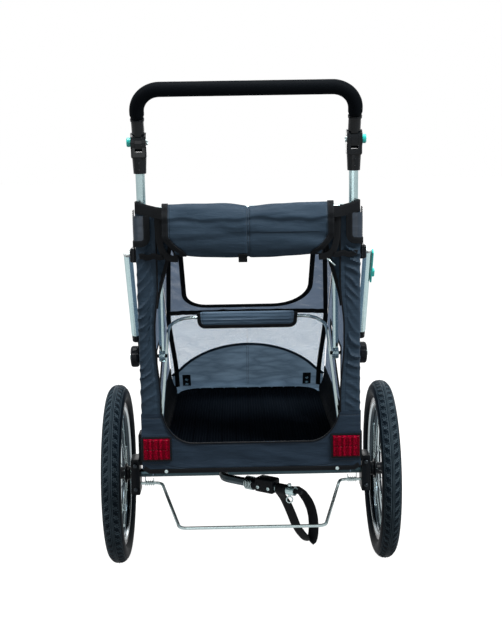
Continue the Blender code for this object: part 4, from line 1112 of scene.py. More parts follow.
# Lit copy of the slate cloth for the rolled hatch flap: paler tones and a faint glow, painted light.
LIT_FLAP_SLATE = Cloth("hatch_flap_finish", "slate_fabric", (0.034, 0.060, 0.092), (0.066, 0.105, 0.150),
                   0.45, 0.15, glow=0.20).make()
COATED_SLATE = Cloth("coated_fabric_finish", "slate_fabric", (0.016, 0.026, 0.040), (0.045, 0.062, 0.085),
                     0.30, 0.20, coat=0.25).make()
BLACK_CLOTH = Cloth("black_fabric_finish", "black_fabric", (0.0022, 0.0030, 0.0042), (0.0055, 0.0065, 0.0082),
                    0.78, 0.04).make()
BLACK_PANEL = Cloth("floor_panel_finish", "black_fabric", (0.0022, 0.0030, 0.0042), (0.0055, 0.0065, 0.0080),
                    0.8, 0.04, by_map=False).make()
WEBBING = Cloth("black_webbing_finish", "black_webbing", (0.0026, 0.0034, 0.0045), (0.0090, 0.0105, 0.0125),
                0.60, 0.10, threads=900.0, creases=0.0004, thread_tone=(0.012, 0.014, 0.016)).make()
BINDING = Cloth("black_binding_finish", "black_fabric", (0.0022, 0.0030, 0.0042), (0.0075, 0.0088, 0.0105),
                0.66, 0.08, threads=1500.0, creases=0.0004, thread_tone=(0.012, 0.014, 0.016)).make()
# Window mesh: its thread colour also glows, painted light.
WINDOW_MESH = Cloth("window_mesh_finish", "mesh_fabric", (0.150, 0.270, 0.390), (0.300, 0.440, 0.560),
                    0.7, 0.03, threads=900.0, holes=0.655, thread_tone=(0.12, 0.17, 0.23), glow=0.48,
                    folds=0.6).make()
# Wall mesh: its thread colour also glows, painted light.
WALL_MESH = Cloth("wall_mesh_finish", "mesh_fabric", (0.100, 0.134, 0.186), (0.185, 0.235, 0.315), 0.7, 0.03,
                  threads=900.0, holes=0.34, thread_tone=(0.10, 0.12, 0.16), glow=0.60, folds=0.5).make()
BLACK_PLASTIC = Moulded("black_plastic_finish", "black_plastic", (0.0026, 0.0040, 0.0056),
                        (0.009, 0.012, 0.016), 0.34, 0.10).make()
GLOSSY_BLACK = Moulded("glossy_black_finish", "black_plastic", (0.0030, 0.0042, 0.0058),
                       (0.009, 0.012, 0.015), 0.24, 0.14, depth=0.00002, coat=0.12).make()
FOAM = Moulded("foam_grip_finish", "foam_grip", (0.0020, 0.0030, 0.0042), (0.0045, 0.0056, 0.0072),
               0.62, 0.02, grain=700.0, depth=0.00025).make()
TEAL = Moulded("teal_plastic_finish", "teal_plastic", (0.01, 0.47, 0.42), (0.05, 0.60, 0.53), 0.30, 0.30,
               coat=0.2).make()
WHITE_CAP = Moulded("pale_cap_finish", "black_plastic", (0.60, 0.66, 0.66), (0.70, 0.75, 0.75), 0.4,
                    0.3).make()
TYRE = Treaded("tyre_finish", "tyre", (0.0030, 0.0068, 0.0110), (0.0070, 0.0125, 0.0180), 0.45, 0.02).make()
MAT = RibbedMat("floor_mat_finish", "floor_mat", (0.0028, 0.0044, 0.0068), (0.0064, 0.0084, 0.0115),
                0.80, 0.0).make()
RED_LENS = Lens("red_lens_finish", "red_lens", (0.34, 0.0008, 0.022), (0.085, 0.0001, 0.005), 0.30,
                0.02).make()


def dress(obj: Piece, material: Material, body: str, replaces: Sequence[str] = ()) -> Piece:
    """Give a piece its finish, body and the nodes it stands for.

    Args:
        obj: The finished piece.
        material: Its finish.
        body: The body that it rides on.
        replaces: The nodes that it replaces.

    Returns:
        The same piece.
    """
    obj.data.materials.clear()
    obj.data.materials.append(material)
    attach(obj, body)
    if replaces:
        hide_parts(*replaces)
    log.info("piece %s on %s", obj.name, body)
    return obj


def crush(obj: Piece, height: float) -> Piece:
    """Give a fabric piece its own copy of its mesh."""
    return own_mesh(obj)


def fabric(obj: Piece, material: Material, height: float, replaces: Sequence[str] = ()) -> Piece:
    """Dress a fabric piece of the chassis and give it its own copy of its mesh."""
    return crush(dress(obj, material, "chassis", replaces), height)


def band(name: str, path: Sequence[Vector], facing: Facing | Vector, size: tuple[float, float],
         material: Material, height: float, **shape: object) -> Piece:
    """Webbing of a width and thickness on the cabin's fabric, dressed like that fabric."""
    return fabric(webbing(name, path, facing, *size, **shape), material, height)


def refinish(material: Material, *nodes: str) -> None:
    """Give carried-over nodes a finish.

    Args:
        material: The finish.
        nodes: Names of the nodes.
    """
    for node in nodes:
        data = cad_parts[node].data
        data.materials.clear()
        data.materials.append(material)


# Camera and studio
@dataclass
class Viewpoint:
    """Camera at the photograph's angle."""

    focal: float = 1126.0
    picture_height: int = 642
    yaw: float = math.radians(0.655)
    pitch: float = math.radians(8.67)
    roll: float = math.radians(0.945)
    eye: tuple[float, float, float] = (-0.022, AXLE_Y - 2.474, 0.92)

    def build(self) -> None:
        """Make the camera and set it as the scene's camera."""
        yaw, pitch, roll = self.yaw, self.pitch, self.roll
        right = Vector((math.cos(yaw), -math.sin(yaw), 0))
        forward = Vector((math.cos(pitch) * math.sin(yaw), math.cos(pitch) * math.cos(yaw), -math.sin(pitch)))
        up = Vector((math.sin(pitch) * math.sin(yaw), math.sin(pitch) * math.cos(yaw), math.cos(pitch)))
        across = math.cos(roll) * right - math.sin(roll) * up
        top = math.sin(roll) * right + math.cos(roll) * up
        matrix = Matrix((across, top, -forward)).transposed().to_4x4()
        matrix.translation = Vector(self.eye)
        data = bpy.data.cameras.new("photo_camera")
        data.sensor_fit = "VERTICAL"
        data.sensor_height = 36.0
        data.lens = self.focal * data.sensor_height / self.picture_height
        camera = bpy.data.objects.new("photo_camera", data)
        bpy.context.scene.collection.objects.link(camera)
        camera.matrix_world = matrix
        bpy.context.scene.camera = camera


@dataclass
class Studio:
    """Pale floor, bright surroundings and soft lamps, each with its place, size and power."""

    lamps: tuple[tuple[str, Tone, float, float], ...] = (
        ("key_lamp", (1.9, -1.7, 2.7), 0.8, 96.0), ("fill_lamp", (-2.3, -1.0, 2.3), 0.8, 30.0),
        ("top_lamp", (-0.2, -0.4, 3.3), 1.2, 92.0), ("front_lamp", (0.3, 2.6, 1.6), 1.8, 22.0),
        ("low_lamp", (-0.4, -3.2, 0.75), 1.2, 10.0))
    floor_size: float = 60.0
    floor_glow: float = 1.0
    mirrored_glow: float = 0.60
    sky: float = 0.10
    sky_rise: float = 0.35
    mirrored_sky: float = 0.42

    def build(self) -> None:
        """Make the floor, the surroundings and the lamps."""
        floor = settle(added(bpy.ops.mesh.primitive_plane_add, size=self.floor_size), "studio_floor")
        material = bpy.data.materials.new("studio_floor_finish")
        material.use_nodes = True
        wire = Wiring(material.node_tree)
        shader = material.node_tree.nodes["Principled BSDF"]
        shader.inputs["Roughness"].default_value = 0.9
        grain = wire.noise(wire.add("ShaderNodeTexCoord").outputs["Object"], 3.0)
        wire.link(wire.between(grain, (0.15, 0.15, 0.15), (0.17, 0.17, 0.17)), shader.inputs["Base Color"])
        shader.inputs["Specular IOR Level"].default_value = 0.0
        shader.inputs["Emission Color"].default_value = (1.0, 1.0, 1.0, 1.0)
        rays = wire.add("ShaderNodeLightPath")
        glow = wire.math("MULTIPLY_ADD", rays.outputs["Is Camera Ray"], self.floor_glow,
                         wire.math("MULTIPLY", rays.outputs["Is Glossy Ray"], self.mirrored_glow))
        wire.link(glow, shader.inputs["Emission Strength"])
        floor.data.materials.append(material)
        self.surround()
        for lamp in self.lamps:
            self.lamp(*lamp)
        bpy.context.scene.view_settings.view_transform = "Standard"

    def surround(self) -> None:
        """Surroundings that look white and give a softer light than that, brighter overhead."""
        world = bpy.data.worlds.new("studio_surround")
        bpy.context.scene.world = world
        world.use_nodes = True
        wire = Wiring(world.node_tree)
        split = wire.parts(wire.add("ShaderNodeTexCoord").outputs["Generated"])
        high = wire.math("MULTIPLY", wire.math("MAXIMUM", split.outputs["Z"], 0.0), self.sky_rise)
        rays = wire.add("ShaderNodeLightPath")
        level = wire.math("MULTIPLY_ADD", rays.outputs["Is Glossy Ray"], self.mirrored_sky,
                          wire.math("ADD", high, self.sky))
        level = wire.math("MAXIMUM", level, rays.outputs["Is Camera Ray"])
        wire.link(level, world.node_tree.nodes["Background"].inputs["Strength"])
        world.node_tree.nodes["Background"].inputs["Color"].default_value = (1.0, 1.0, 1.0, 1.0)

    def lamp(self, name: str, place: Sequence[float], size: float, power: float) -> None:
        """Square soft lamp that looks at the cabin.

        Args:
            name: The lamp's name.
            place: Where it hangs.
            size: Side of its square.
            power: Power in watts.
        """
        lamp = added(bpy.ops.object.light_add, place, type="AREA")
        lamp.name = name
        lamp.data.energy = power
        lamp.data.size = size
        lamp.rotation_euler = (Vector((0, 0, 0.5)) - Vector(place)).to_track_quat("-Z", "Y").to_euler()


# Safety strap and tow arm
@dataclass
class TowArm:
    """Stowed tow arm with its coupling, pin and safety strap."""

    arm_x: float = -0.060
    height: float = 0.224
    bend_back: float = 0.1326
    end_angle: float = math.radians(53.5)
    end_run: float = 0.092
    radius: float = 0.0095
    gap: float = 0.0003
    block_size: tuple[float, float, float] = (0.030, 0.045, 0.031)
    block_rise: float = 0.0035
    bolt_out: float = 0.0158
    bolt_step: float = 0.013
    wire_turns: int = 5
    wire_run: float = 0.020
    collar_length: float = 0.034
    coupling_length: float = 0.047
    pin_back: float = 0.014
    ring_radius: float = 0.0065
    strap_station: float = 0.016
    strap_width: float = 0.024
    strap_thickness: float = 0.0018
    strap_hang: tuple[tuple[float, float, float], ...] = (
        (0.0107, 0.0145, 0.0030), (0.0160, 0.0215, 0.0000), (0.028, 0.024, -0.0050), (0.042, 0.020, -0.0150),
        (0.053, 0.016, -0.0300), (0.060, 0.012, -0.0460), (0.064, 0.012, -0.0660), (0.065, 0.012, -0.0860),
        (0.064, 0.013, -0.1040), (0.060, 0.014, -0.1190), (0.049, 0.014, -0.1140), (0.037, 0.013, -0.0990),
        (0.027, 0.010, -0.0800), (0.020, 0.009, -0.0600), (0.013, 0.008, -0.0420), (0.007, 0.007, -0.0280),
        (0.000, 0.001, -0.0155))

    @property
    def along(self) -> Vector:
        """Level direction of the arm's bent end."""
        return Vector((math.sin(self.end_angle), -math.cos(self.end_angle), 0))

    @property
    def aside(self) -> Vector:
        """Level direction across the arm's bent end."""
        return UP.cross(self.along)

    def spot(self, distance: float) -> Vector:
        """Point along the bent end, from the corner of the bend."""
        return at(self.arm_x, -self.bend_back, self.height) + self.along * distance

    def build_strap(self) -> None:
        """Webbing loop that hangs over the coupling tube, with its sewn overlap."""
        seat = self.spot(self.end_run + self.block_size[1] + self.strap_station)
        reach = self.radius + self.gap + self.strap_thickness / 2 + 0.0001
        over = [seat + self.aside * reach * math.sin(angle) + UP * reach * math.cos(angle)
                for angle in [math.radians(degrees) for degrees in range(-125, 61, 15)]]
        loop = over + [seat + Vector(offset) for offset in self.strap_hang]
        line = resampled(loop, 96, closed=True)
        for _ in range(2):
            line = [(line[index - 1] + line[index] * 2 + line[(index + 1) % len(line)]) / 4
                    for index in range(len(line))]
        along = self.along

        def facing(share: float) -> Vector:
            """Normal of the webbing at a share of its length."""
            index = round(share * len(line)) % len(line)
            tangent = (line[(index + 1) % len(line)] - line[index - 1]).normalized()
            width = (along - tangent * along.dot(tangent)).normalized()
            return tangent.cross(width)

        strap = webbing("safety_strap_webbing", line, facing, self.strap_width, self.strap_thickness, True,
                        0.0004)
        dress(strap, WEBBING, "tow_arm", ["safety_strap"])
        low = min(range(len(line)), key=lambda index: line[index].z)
        patch_line = [line[(low + step) % len(line)] for step in range(3, 11)]
        normal = facing(((low + 6) % len(line)) / len(line))
        patch = webbing("safety_strap_overlap", [point + normal * 0.0017 for point in patch_line], normal,
                        self.strap_width * 0.96, 0.0016)
        dress(patch, WEBBING, "tow_arm")

    def build_coupling(self) -> None:
        """Coupling block, its bolts and wire, the tube's inner rod and the pin with its ring."""
        along, aside = self.along, self.aside
        middle = self.spot(self.end_run + self.gap + self.block_size[1] / 2)
        place = Matrix.Translation((0, 0, self.block_rise)) @ frame_matrix(middle, aside, along)
        body = block("coupling_block_body", self.block_size, place, 0.0045, 3,
                     inset_panel(2, 1.0, 0.004, 0.0012))
        dress(body, BLACK_PLASTIC, "tow_arm", ["coupling_block"])
        heads = [screw_head("coupling_screw", middle + along * step + aside * side * self.bolt_out,
                            aside * side, 0.0038, 0.0026)
                 for side in (1.0, -1.0) for step in (-self.bolt_step, self.bolt_step)]
        dress(merged("coupling_screws", heads), STEEL, "tow_arm")
        coil_start = self.spot(self.end_run - 0.030)
        steps = 90
        coil = []
        for step in range(steps + 1):
            angle = math.tau * self.wire_turns * step / steps
            coil.append(coil_start + along * (self.wire_run * step / steps)
                        + (aside * math.cos(angle) + UP * math.sin(angle)) * (self.radius + 0.0040))
        dress(round_tube("arm_wire_wrap", coil, 0.0010, fineness=2), STEEL, "tow_arm")
        collar = rod_between("arm_collar", self.spot(self.end_run - self.collar_length),
                             self.spot(self.end_run), 0.0122, 6)
        dress(collar, BLACK_PLASTIC, "tow_arm")
        start = self.end_run + 2 * self.gap + self.block_size[1]
        inner = rod_between("coupling_inner_rod", self.spot(start + 0.010), self.spot(start + 0.064),
                            0.0042, 5)
        dress(inner, BLACK_PLASTIC, "tow_arm")
        self.build_pin(self.spot(start + self.coupling_length - self.pin_back))

    def build_pin(self, centre: Vector) -> None:
        """Hitch pin with a domed head and a split ring under the tube.

        Args:
            centre: Point of the tube's axis that the pin crosses.
        """
        low, high = centre - UP * (self.radius + 0.005), centre + UP * (self.radius + 0.003)
        pin = rod_between("hitch_pin_rod", low, high, 0.0026, 4)
        head = screw_head("hitch_pin_head", high + UP * 0.0002, UP, 0.0042, 0.0024)
        steps = 30
        ring = [low + Vector((math.cos(math.tau * step / steps), 0, math.sin(math.tau * step / steps)))
                * self.ring_radius - UP * 0.0052 for step in range(steps)]
        clip = round_tube("hitch_pin_ring", ring, 0.0013, closed=True, fineness=2)
        dress(merged("hitch_pin", [pin, head, clip]), STEEL, "coupling_pin", ["coupling_pin"])

    def build(self) -> None:
        """Make every piece of the tow arm."""
        self.build_strap()
        self.build_coupling()
        refinish(ARM_METAL, "tow_arm")
        refinish(ALUMINIUM, "coupling_tube")
        refinish(BLACK_PLASTIC, "arm_keeper_front", "arm_keeper_rear")


# Rolled rear flap
@dataclass
class RearRoll:
    """Rear flap rolled up behind the uprights, with its binding, ties and tab."""

    half_length: float = 0.168
    half_depth: float = 0.027
    half_height: float = 0.0535
    fore: float = -0.3002
    height: float = 0.7636
    overlap: float = 0.0036

    def surface(self, share: float, turn: float, lift: float = 0.0) -> Vector:
        """Point on the roll's skin.

        Args:
            share: Place along the roll, from -1 to 1.
            turn: Angle round the roll, 0 behind it and a quarter turn at its top.
            lift: Distance outside the skin.

        Returns:
            The world point.
        """
        back, rise = math.cos(turn), math.sin(turn)
        narrow = 0.034 * smooth_step(0.10, 1.0, -rise) * (1.0 if back > 0 else 0.6)
        x = share * (self.half_length - 0.006 - narrow)
        edge_of_layer = 0.50 + 0.05 * math.sin(x * 41 + 0.6) + 0.035 * math.sin(x * 87)
        facing_angle = math.atan2(rise, back)
        layer = self.overlap * smooth_step(-0.03, 0.03, facing_angle - edge_of_layer) if back > 0 else 0.0
        pucker = 0.0016 * abs(math.sin(x * 62)) * bump(facing_angle, edge_of_layer - 0.10, 0.10)
        fold = 0.0016 * bump(facing_angle, -0.22 + 0.10 * math.sin(x * 17 + 1), 0.13)
        seam = 0.0022 * bump(x, 0.0, 0.0030)
        slack = 0.0036 * ripple(x * 9 + turn, turn * 1.5, 3.1) + 0.0008 * ripple(x * 30, turn * 3.0, 7.7)
        slack -= 0.0012
        dip = 0.0045 * bump(x, 0.004, 0.026) * smooth_step(0.5, 1.0, rise)
        lift_ends = 0.0060 * smooth_step(0.5, 1.0, -rise) * (share * share)
        reach = lift + slack + layer - pucker - fold - seam
        front = 1.0 if back > 0 else 0.35
        return at(x, self.fore - back * (self.half_depth - 0.003 + reach * front),
                  self.height + rise * (self.half_height - 0.002 + reach) - dip + lift_ends)

    def build_skin(self) -> None:
        """The roll's skin with its ends rolled in."""
        count, length, girth = 150, self.half_length * 2, 0.28

        def place(u: float, v: float) -> Vector:
            """Point of the skin round the roll and along it."""
            return self.surface(v * 2 - 1, math.tau * u)

        def seam(u: float, v: float) -> float:
            """Distance from the nearest row of stitches."""
            return min(abs(v - 0.5) * length - 0.0022, (1 - abs(v * 2 - 1)) * self.half_length - 0.011)

        skin = grid_sheet("rear_flap_skin", count, 110, place, (girth, length), seam)
        ends = []
        for sign in (-1.0, 1.0):
            def cap(u: float, v: float, sign: float = sign) -> Vector:
                """Point of a rolled end, from its rim inwards."""
                edge = self.surface(sign, math.tau * u)
                middle = at(edge.x * 0.985, self.fore, self.height)
                shrink = 1.0 - v * 0.97
                ridge = 0.0030 * math.sin(math.tau * (v * 4.2 + u)) * smooth_step(0.0, 0.12, v)
                spot = middle.lerp(edge, shrink)
                spot.x = edge.x + sign * (ridge - 0.004 * smooth_step(0.0, 0.3, v))
                return spot

            ends.append(grid_sheet(f"rear_flap_end_{sign:.0f}", count, 34, cap, (girth, 0.05)))
        roll = merged("rear_flap_roll", [skin, *ends])
        closed_up(outward(roll, 0.0006))
        dress(roll, SLATE, "upper_frame", ["rear_roll"])

    def build_trim(self) -> None:
        """Binding at the ends, the tab in the middle and the ties round the uprights."""
        steps = 90
        for side in Side:
            sign = side.value
            ring = [self.surface(sign * 0.982, math.tau * step / steps, 0.0010) for step in range(steps)]
            middle = at(ring[0].x, self.fore, self.height)
            normals = [(point - Vector((point.x, middle.y, middle.z))).normalized() for point in ring]
            binding = webbing(f"rear_flap_binding_{side.word}", ring, by_share(normals, True), 0.012, 0.0024,
                              True, 0.0008)
            dress(binding, BINDING, "upper_frame")
            rise = 0.0 if side is Side.LEFT else -0.003
            track = [at(sign * x, fore, z) for x, fore, z in (
                (0.158, -0.3150, 0.8000), (0.180, -0.2990, 0.8030 + rise), (0.2175, -0.2925, 0.8125 + rise),
                (0.2175, -0.2610, 0.8130 + rise), (0.2080, -0.2600, 0.8125 + rise))]
            path = resampled(rounded_path(track, [0.0, 0.02, 0.006, 0.003, 0.0], 5), 26)
            ways = [(after - before).cross(UP) for before, after in zip(path, path[1:])]
            tie = webbing(f"rear_flap_tie_{side.word}", path, by_share(ways + ways[-1:]), 0.022, 0.0020)
            dress(tie, WEBBING, "upper_frame")
        front = [self.surface(-0.085, turn, 0.0012) for turn in (-0.95, -1.15, -1.35)]
        front += [front[-1] + Vector((0, 0.001, -0.004)), front[-1] + Vector((0, 0.002, -0.009))]
        tab = webbing("rear_flap_tab", resampled(front, 10), Vector((0, -1, -0.15)), 0.017, 0.0020)
        dress(tab, WEBBING, "upper_frame")

    def build(self) -> None:
        """Make every piece of the rolled flap."""
        self.build_skin()
        self.build_trim()


# Cabin fabric
@dataclass
class RearCorner:
    """Rear corner sheets, the lower rear panel and their edging."""

    inner_x: float = 0.178
    outer_x: float = 0.220
    corner: float = 0.008
    back: float = -0.2773
    lean: float = -0.02808
    low: float = 0.4003
    high: float = 0.8120
    turn_in: float = 0.018
    lip: float = 0.339
    lip_corner: float = 0.062
    lip_rise: float = 0.074
    sill_low: float = 0.278
    fold_pitch: float = 0.0235
    fold_depth: float = 0.0075
    gusset: tuple[float, float] = (0.612, 0.792)
    closing: tuple[float, float] = (0.2925, 0.7000)
    skirt: tuple[float, float] = (0.742, 0.796)
    skirt_start: float = 0.018
    zip_low: float = 0.706
    zip_pitch: float = 0.0035

    @property
    def round_start(self) -> float:
        """Distance from the doorway's edge to the start of the rounded corner."""
        return self.outer_x - self.inner_x - self.corner

    @property
    def round_end(self) -> float:
        """Distance from the doorway's edge to the end of the rounded corner."""
        return self.round_start + self.corner * math.pi / 2

    def column_point(self, sign: float, travel: float, z: float) -> tuple[Vector, Vector]:
        """Point and outward direction on a corner sheet.

        Args:
            sign: Side of the trailer.
            travel: Distance in from the doorway's edge, round the corner.
            z: Height.

        Returns:
            The point and its direction.
        """
        shift = self.lean * max(0.0, z - self.low)
        if travel <= self.round_start:
            return at(sign * (self.inner_x + travel), self.back + shift, z), Vector((0, -1, 0))
        if travel <= self.round_end:
            angle = (travel - self.round_start) / self.corner
            centre = at(sign * (self.outer_x - self.corner), self.back + self.corner + shift, z)
            way = Vector((sign * math.sin(angle), -math.cos(angle), 0))
            return centre + way * self.corner, way
        rest = travel - self.round_end
        return at(sign * self.outer_x, self.back + self.corner + rest + shift, z), Vector((sign, 0, 0))

    def build_column(self, side: Side) -> None:
        """One corner sheet with its slanting folds and its edging.

        Args:
            side: Side of the trailer.
        """
        sign = side.value
        girth = self.round_end + self.turn_in - self.corner
        height = self.high - self.low
        phase = 0.0 if side is Side.LEFT else 5.3

        def place(u: float, v: float) -> Vector:
            """Point of the corner sheet."""
            travel, z = u * girth, self.low + v * height
            point, way = self.column_point(sign, travel, z)
            point.x += sign * self.bow(z) * (1 - smooth_step(0.0, 0.030, travel))
            slant = z + travel * 0.95
            warp = 0.35 * ripple(z * 9, travel * 14, phase) + 0.15 * ripple(z * 27, travel * 30, phase + 4)
            wave = math.sin(math.tau * (slant / self.fold_pitch + warp * 2.4))
            crease = (max(0.0, wave) ** 1.6) * (0.55 + 0.75 * ripple(z * 16, travel * 8, phase + 9))
            calm = smooth_step(0.008, 0.014, travel) * (1 - 0.85 * smooth_step(0.62, 0.82, u))
            calm *= smooth_step(0.0, 0.04, v) * (1 - smooth_step(0.97, 1.0, v))
            push = self.fold_depth * crease * calm + 0.0020 * bump(travel, 0.028, 0.012)
            return point + way * (push - 0.0012)

        sheet = grid_sheet(f"rear_corner_{side.word}", 22, 150, place, (girth, height),
                           lambda u, v: min(abs(u * girth - 0.0095), 0.05))
        closed_sheet(sheet, 0.0014, -1.0 if side is Side.RIGHT else 1.0)
        fabric(sheet, SLATE, self.low, [f"rear_column_{side.word}"])
        edge = []
        for z in [self.low - 0.002 + height * step / 60 for step in range(60)]:
            edge.append(self.column_point(sign, 0.001, z)[0] + Vector((sign * self.bow(z), 0.0003, 0)))
        band(f"rear_corner_edging_{side.word}", edge, Vector((sign, 0.25, 0)), (0.0046, 0.0022), BINDING,
             self.low)

    def bow(self, z: float) -> float:
        """Distance by which the doorway's edge is drawn outwards at a height."""
        return 0.0075 * smooth_step(0.43, 0.54, z) * (1 - smooth_step(0.57, 0.66, z))

    def gusset_edge(self, z: float) -> float:
        """Distance from the middle of the gusset's free edge at a height."""
        edge = self.inner_x + self.bow(z)
        return edge - 0.026 * smooth_step(0.62, 0.745, z) + 0.018 * smooth_step(0.745, 0.800, z)

    def build_gusset(self, side: Side) -> None:
        """Sheet that widens the corner under and in front of the rolled flap, with its black edge.

        Args:
            side: Side of the trailer.
        """
        sign, (low, high) = side.value, self.gusset

        def place(u: float, v: float) -> Vector:
            """Point of the gusset."""
            z = low + (high - low) * v
            outer, inner = 0.1810 + self.bow(z), self.gusset_edge(z)
            x = outer + (inner - outer) * u
            start = self.back + 0.0020 + self.lean * (z - self.low)
            fore = start + (-0.2705 - start) * smooth_step(0.0, 0.75, u)
            wave = math.sin(math.tau * ((z - x * 0.95) / self.fold_pitch + 0.8 * ripple(z * 9, x * 14, 2.0)))
            return at(sign * x, fore + 0.0022 * max(0.0, wave) * math.sin(math.pi * u), z)

        width = 0.028
        sheet = grid_sheet(f"rear_gusset_{side.word}", 14, 90, place, (width, high - low),
                           lambda u, v: (1 - u) * width - 0.004)
        fabric(thickened(sheet, 0.0012), SLATE, self.low)
        steps = 40
        edge = [at(sign * (self.gusset_edge(z) + 0.001), -0.2712, z)
                for z in [low + (high - low) * step / steps for step in range(steps + 1)]]
        band(f"rear_gusset_edging_{side.word}", edge, BACKWARDS, (0.0075, 0.0026), BINDING, self.low)

    def build_strap(self, side: Side) -> None:
        """Strap beside the rolled flap, the cross binding under it and the zip's puller.

        Args:
            side: Side of the trailer.
        """
        sign = side.value
        track = [at(sign * x, fore, z) for x, fore, z in (
            (0.1745, -0.2925, 0.800), (0.1742, -0.2920, 0.775), (0.1725, -0.2915, 0.750),
            (0.1700, -0.2905, 0.735), (0.1655, -0.2895, 0.7230), (0.1580, -0.2880, 0.7150),
            (0.1480, -0.2865, 0.7115), (0.1370, -0.2850, 0.7110))]
        band(f"rear_corner_strap_{side.word}", resampled(rounded_path(track, 0.005, 4), 40), BACKWARDS,
             (0.0130, 0.0020), WEBBING, self.low)
        rim = [self.column_point(sign, -0.012 + 0.046 * step / 24, 0.7165 - 0.0016 * math.sin(step * 0.5))[0]
               + BACKWARDS * 0.0052 for step in range(25)]
        band(f"corner_cross_binding_{side.word}", rim, BACKWARDS, (0.0110, 0.0026), BINDING, self.low)
        if side is Side.RIGHT:
            puller = rod_between("corner_zip_puller", at(0.1530, -0.2905, 0.7080),
                                 at(0.1690, -0.2905, 0.6940), 0.0016)
            fabric(puller, STEEL, self.low)

    def build_return(self, side: Side) -> None:
        """Sheet that closes the corner between the corner sheet and the side wall.

        Args:
            side: Side of the trailer.
        """
        sign, (low, high) = side.value, self.closing

        def place(u: float, v: float) -> Vector:
            """Point of the closing sheet."""
            z = low + (high - low) * v
            column = self.back + self.turn_in - 0.001 + self.lean * max(0.0, z - self.low)
            start = column + (self.back + 0.004 - column) * (1 - smooth_step(0.4005, 0.412, z))
            x = 0.2186 + (0.2022 - 0.2186) * u + 0.0025 * math.sin(math.pi * u)
            fore = start + (-0.2500 - start) * u
            return at(sign * (x + 0.0016 * ripple(z * 14, u * 2, 4.0) * math.sin(math.pi * u)), fore, z)

        sheet = grid_sheet(f"corner_return_{side.word}", 8, 80, place, (0.026, high - low))
        fabric(thickened(sheet, 0.0012), SLATE, self.low)

    def build_skirt_end(self, side: Side) -> None:
        """Short coated flap over the outer corner, with its black edge.

        Args:
            side: Side of the trailer.
        """
        sign, (low, high) = side.value, self.skirt
        width = self.round_end + 0.006 - self.skirt_start

        def place(u: float, v: float) -> Vector:
            """Point of the coated flap."""
            z, travel = low + (high - low) * v, self.skirt_start + width * u
            point, way = self.column_point(sign, travel, z)
            wave = 0.0016 * ripple(z * 60, travel * 40, 6.0) + 0.0014 * bump(u, 0.55, 0.16)
            return point + way * (0.0008 + 0.0062 * abs(way.y) + wave * 0.5)

        flap = grid_sheet(f"skirt_end_{side.word}", 24, 24, place, (width, high - low))
        fabric(thickened(flap, 0.0012), COATED_SLATE, self.low)
        corners = [Vector((0.0, high - low)), Vector((0.0, 0.0)), Vector((width, 0.0))]
        line, ways = [], []
        for spot in resampled(rounded_path(corners, [0.0, 0.012, 0.0], 6), 40):
            point, way = self.column_point(sign, self.skirt_start + spot.x, low + spot.y)
            line.append(point + way * (0.0016 + 0.0064 * abs(way.y)))
            ways.append(way)
        band(f"skirt_end_binding_{side.word}", line, by_share(ways), (0.0120, 0.0026), BINDING, self.low)

    def build_zip(self, side: Side) -> None:
        """Zip tape and teeth on the outer corner beside the roof's skirt.

        Args:
            side: Side of the trailer.
        """
        sign = side.value
        tape = [self.column_point(sign, self.round_end + 0.004, self.zip_low + self.zip_pitch * step)[0]
                + Vector((sign * 0.0022, 0, 0)) for step in range(30)]
        band(f"corner_zip_tape_{side.word}", tape, Vector((sign, 0, 0)), (0.012, 0.0012), BINDING, self.low)
        tooth = block("zip_tooth", (0.0022, 0.0034, 0.0016), Matrix.Identity(4), 0.0004, 1)
        teeth = []
        for index, point in enumerate(tape[1:-1]):
            shift = Vector((sign * 0.0012, 0.0009 if index % 2 else -0.0009, 0))
            teeth.append(copied(tooth, Matrix.Translation(point + shift), f"zip_tooth_{index}"))
        bpy.data.objects.remove(tooth)
        fabric(merged(f"corner_zip_teeth_{side.word}", teeth), BLACK_PLASTIC, self.low)

    def lip_height(self, x: float) -> float:
        """Height of the doorway's lower edge at a place across.

        Args:
            x: Place across.

        Returns:
            The height.
        """
        inner = self.inner_x - self.lip_corner
        if abs(x) <= inner:
            return self.lip
        if abs(x) >= self.inner_x:
            return self.low
        share = (abs(x) - inner) / self.lip_corner
        return min(self.low, self.lip + self.lip_rise * (1 - math.cos(math.asin(share))))

    def build_sill(self) -> None:
        """Lower rear panel with the rounded bottom of the doorway."""
        spots = sorted({round(sign * value, 5) for sign in (-1, 1) for value in
                        [self.outer_x * step / 24 for step in range(25)]
                        + [self.inner_x - self.lip_corner * (1 - math.sin(math.pi * step / 24))
                           for step in range(13)]})
        columns = len(spots) - 1

        def place(u: float, v: float) -> Vector:
            """Point of the lower panel."""
            x = spots[min(columns, round(u * columns))]
            top = self.lip_height(x)
            base = self.sill_low + 0.010 * smooth_step(0.206, 0.220, abs(x))
            z = base + (top - base) * v
            calm = min(1.0, 12 * v * (1 - v))
            calm *= 1 - bump(abs(x), 0.19, 0.034) * bump(z, 0.329, 0.03)
            wave = ripple(x * 22, z * 30, 1.5) * 0.6 + ripple(x * 7 + z * 20, z * 34, 2.5)
            return at(x, self.back + 0.0003 + 0.0046 * calm * max(0.0, wave), z)

        panel = grid_sheet("rear_sill_panel", columns, 26, place, (0.44, 0.09),
                           lambda u, v: min(abs(v * 0.09 - 0.014), abs((1 - v) * 0.08 - 0.006)))
        closed_sheet(panel, 0.0030, -1.0)
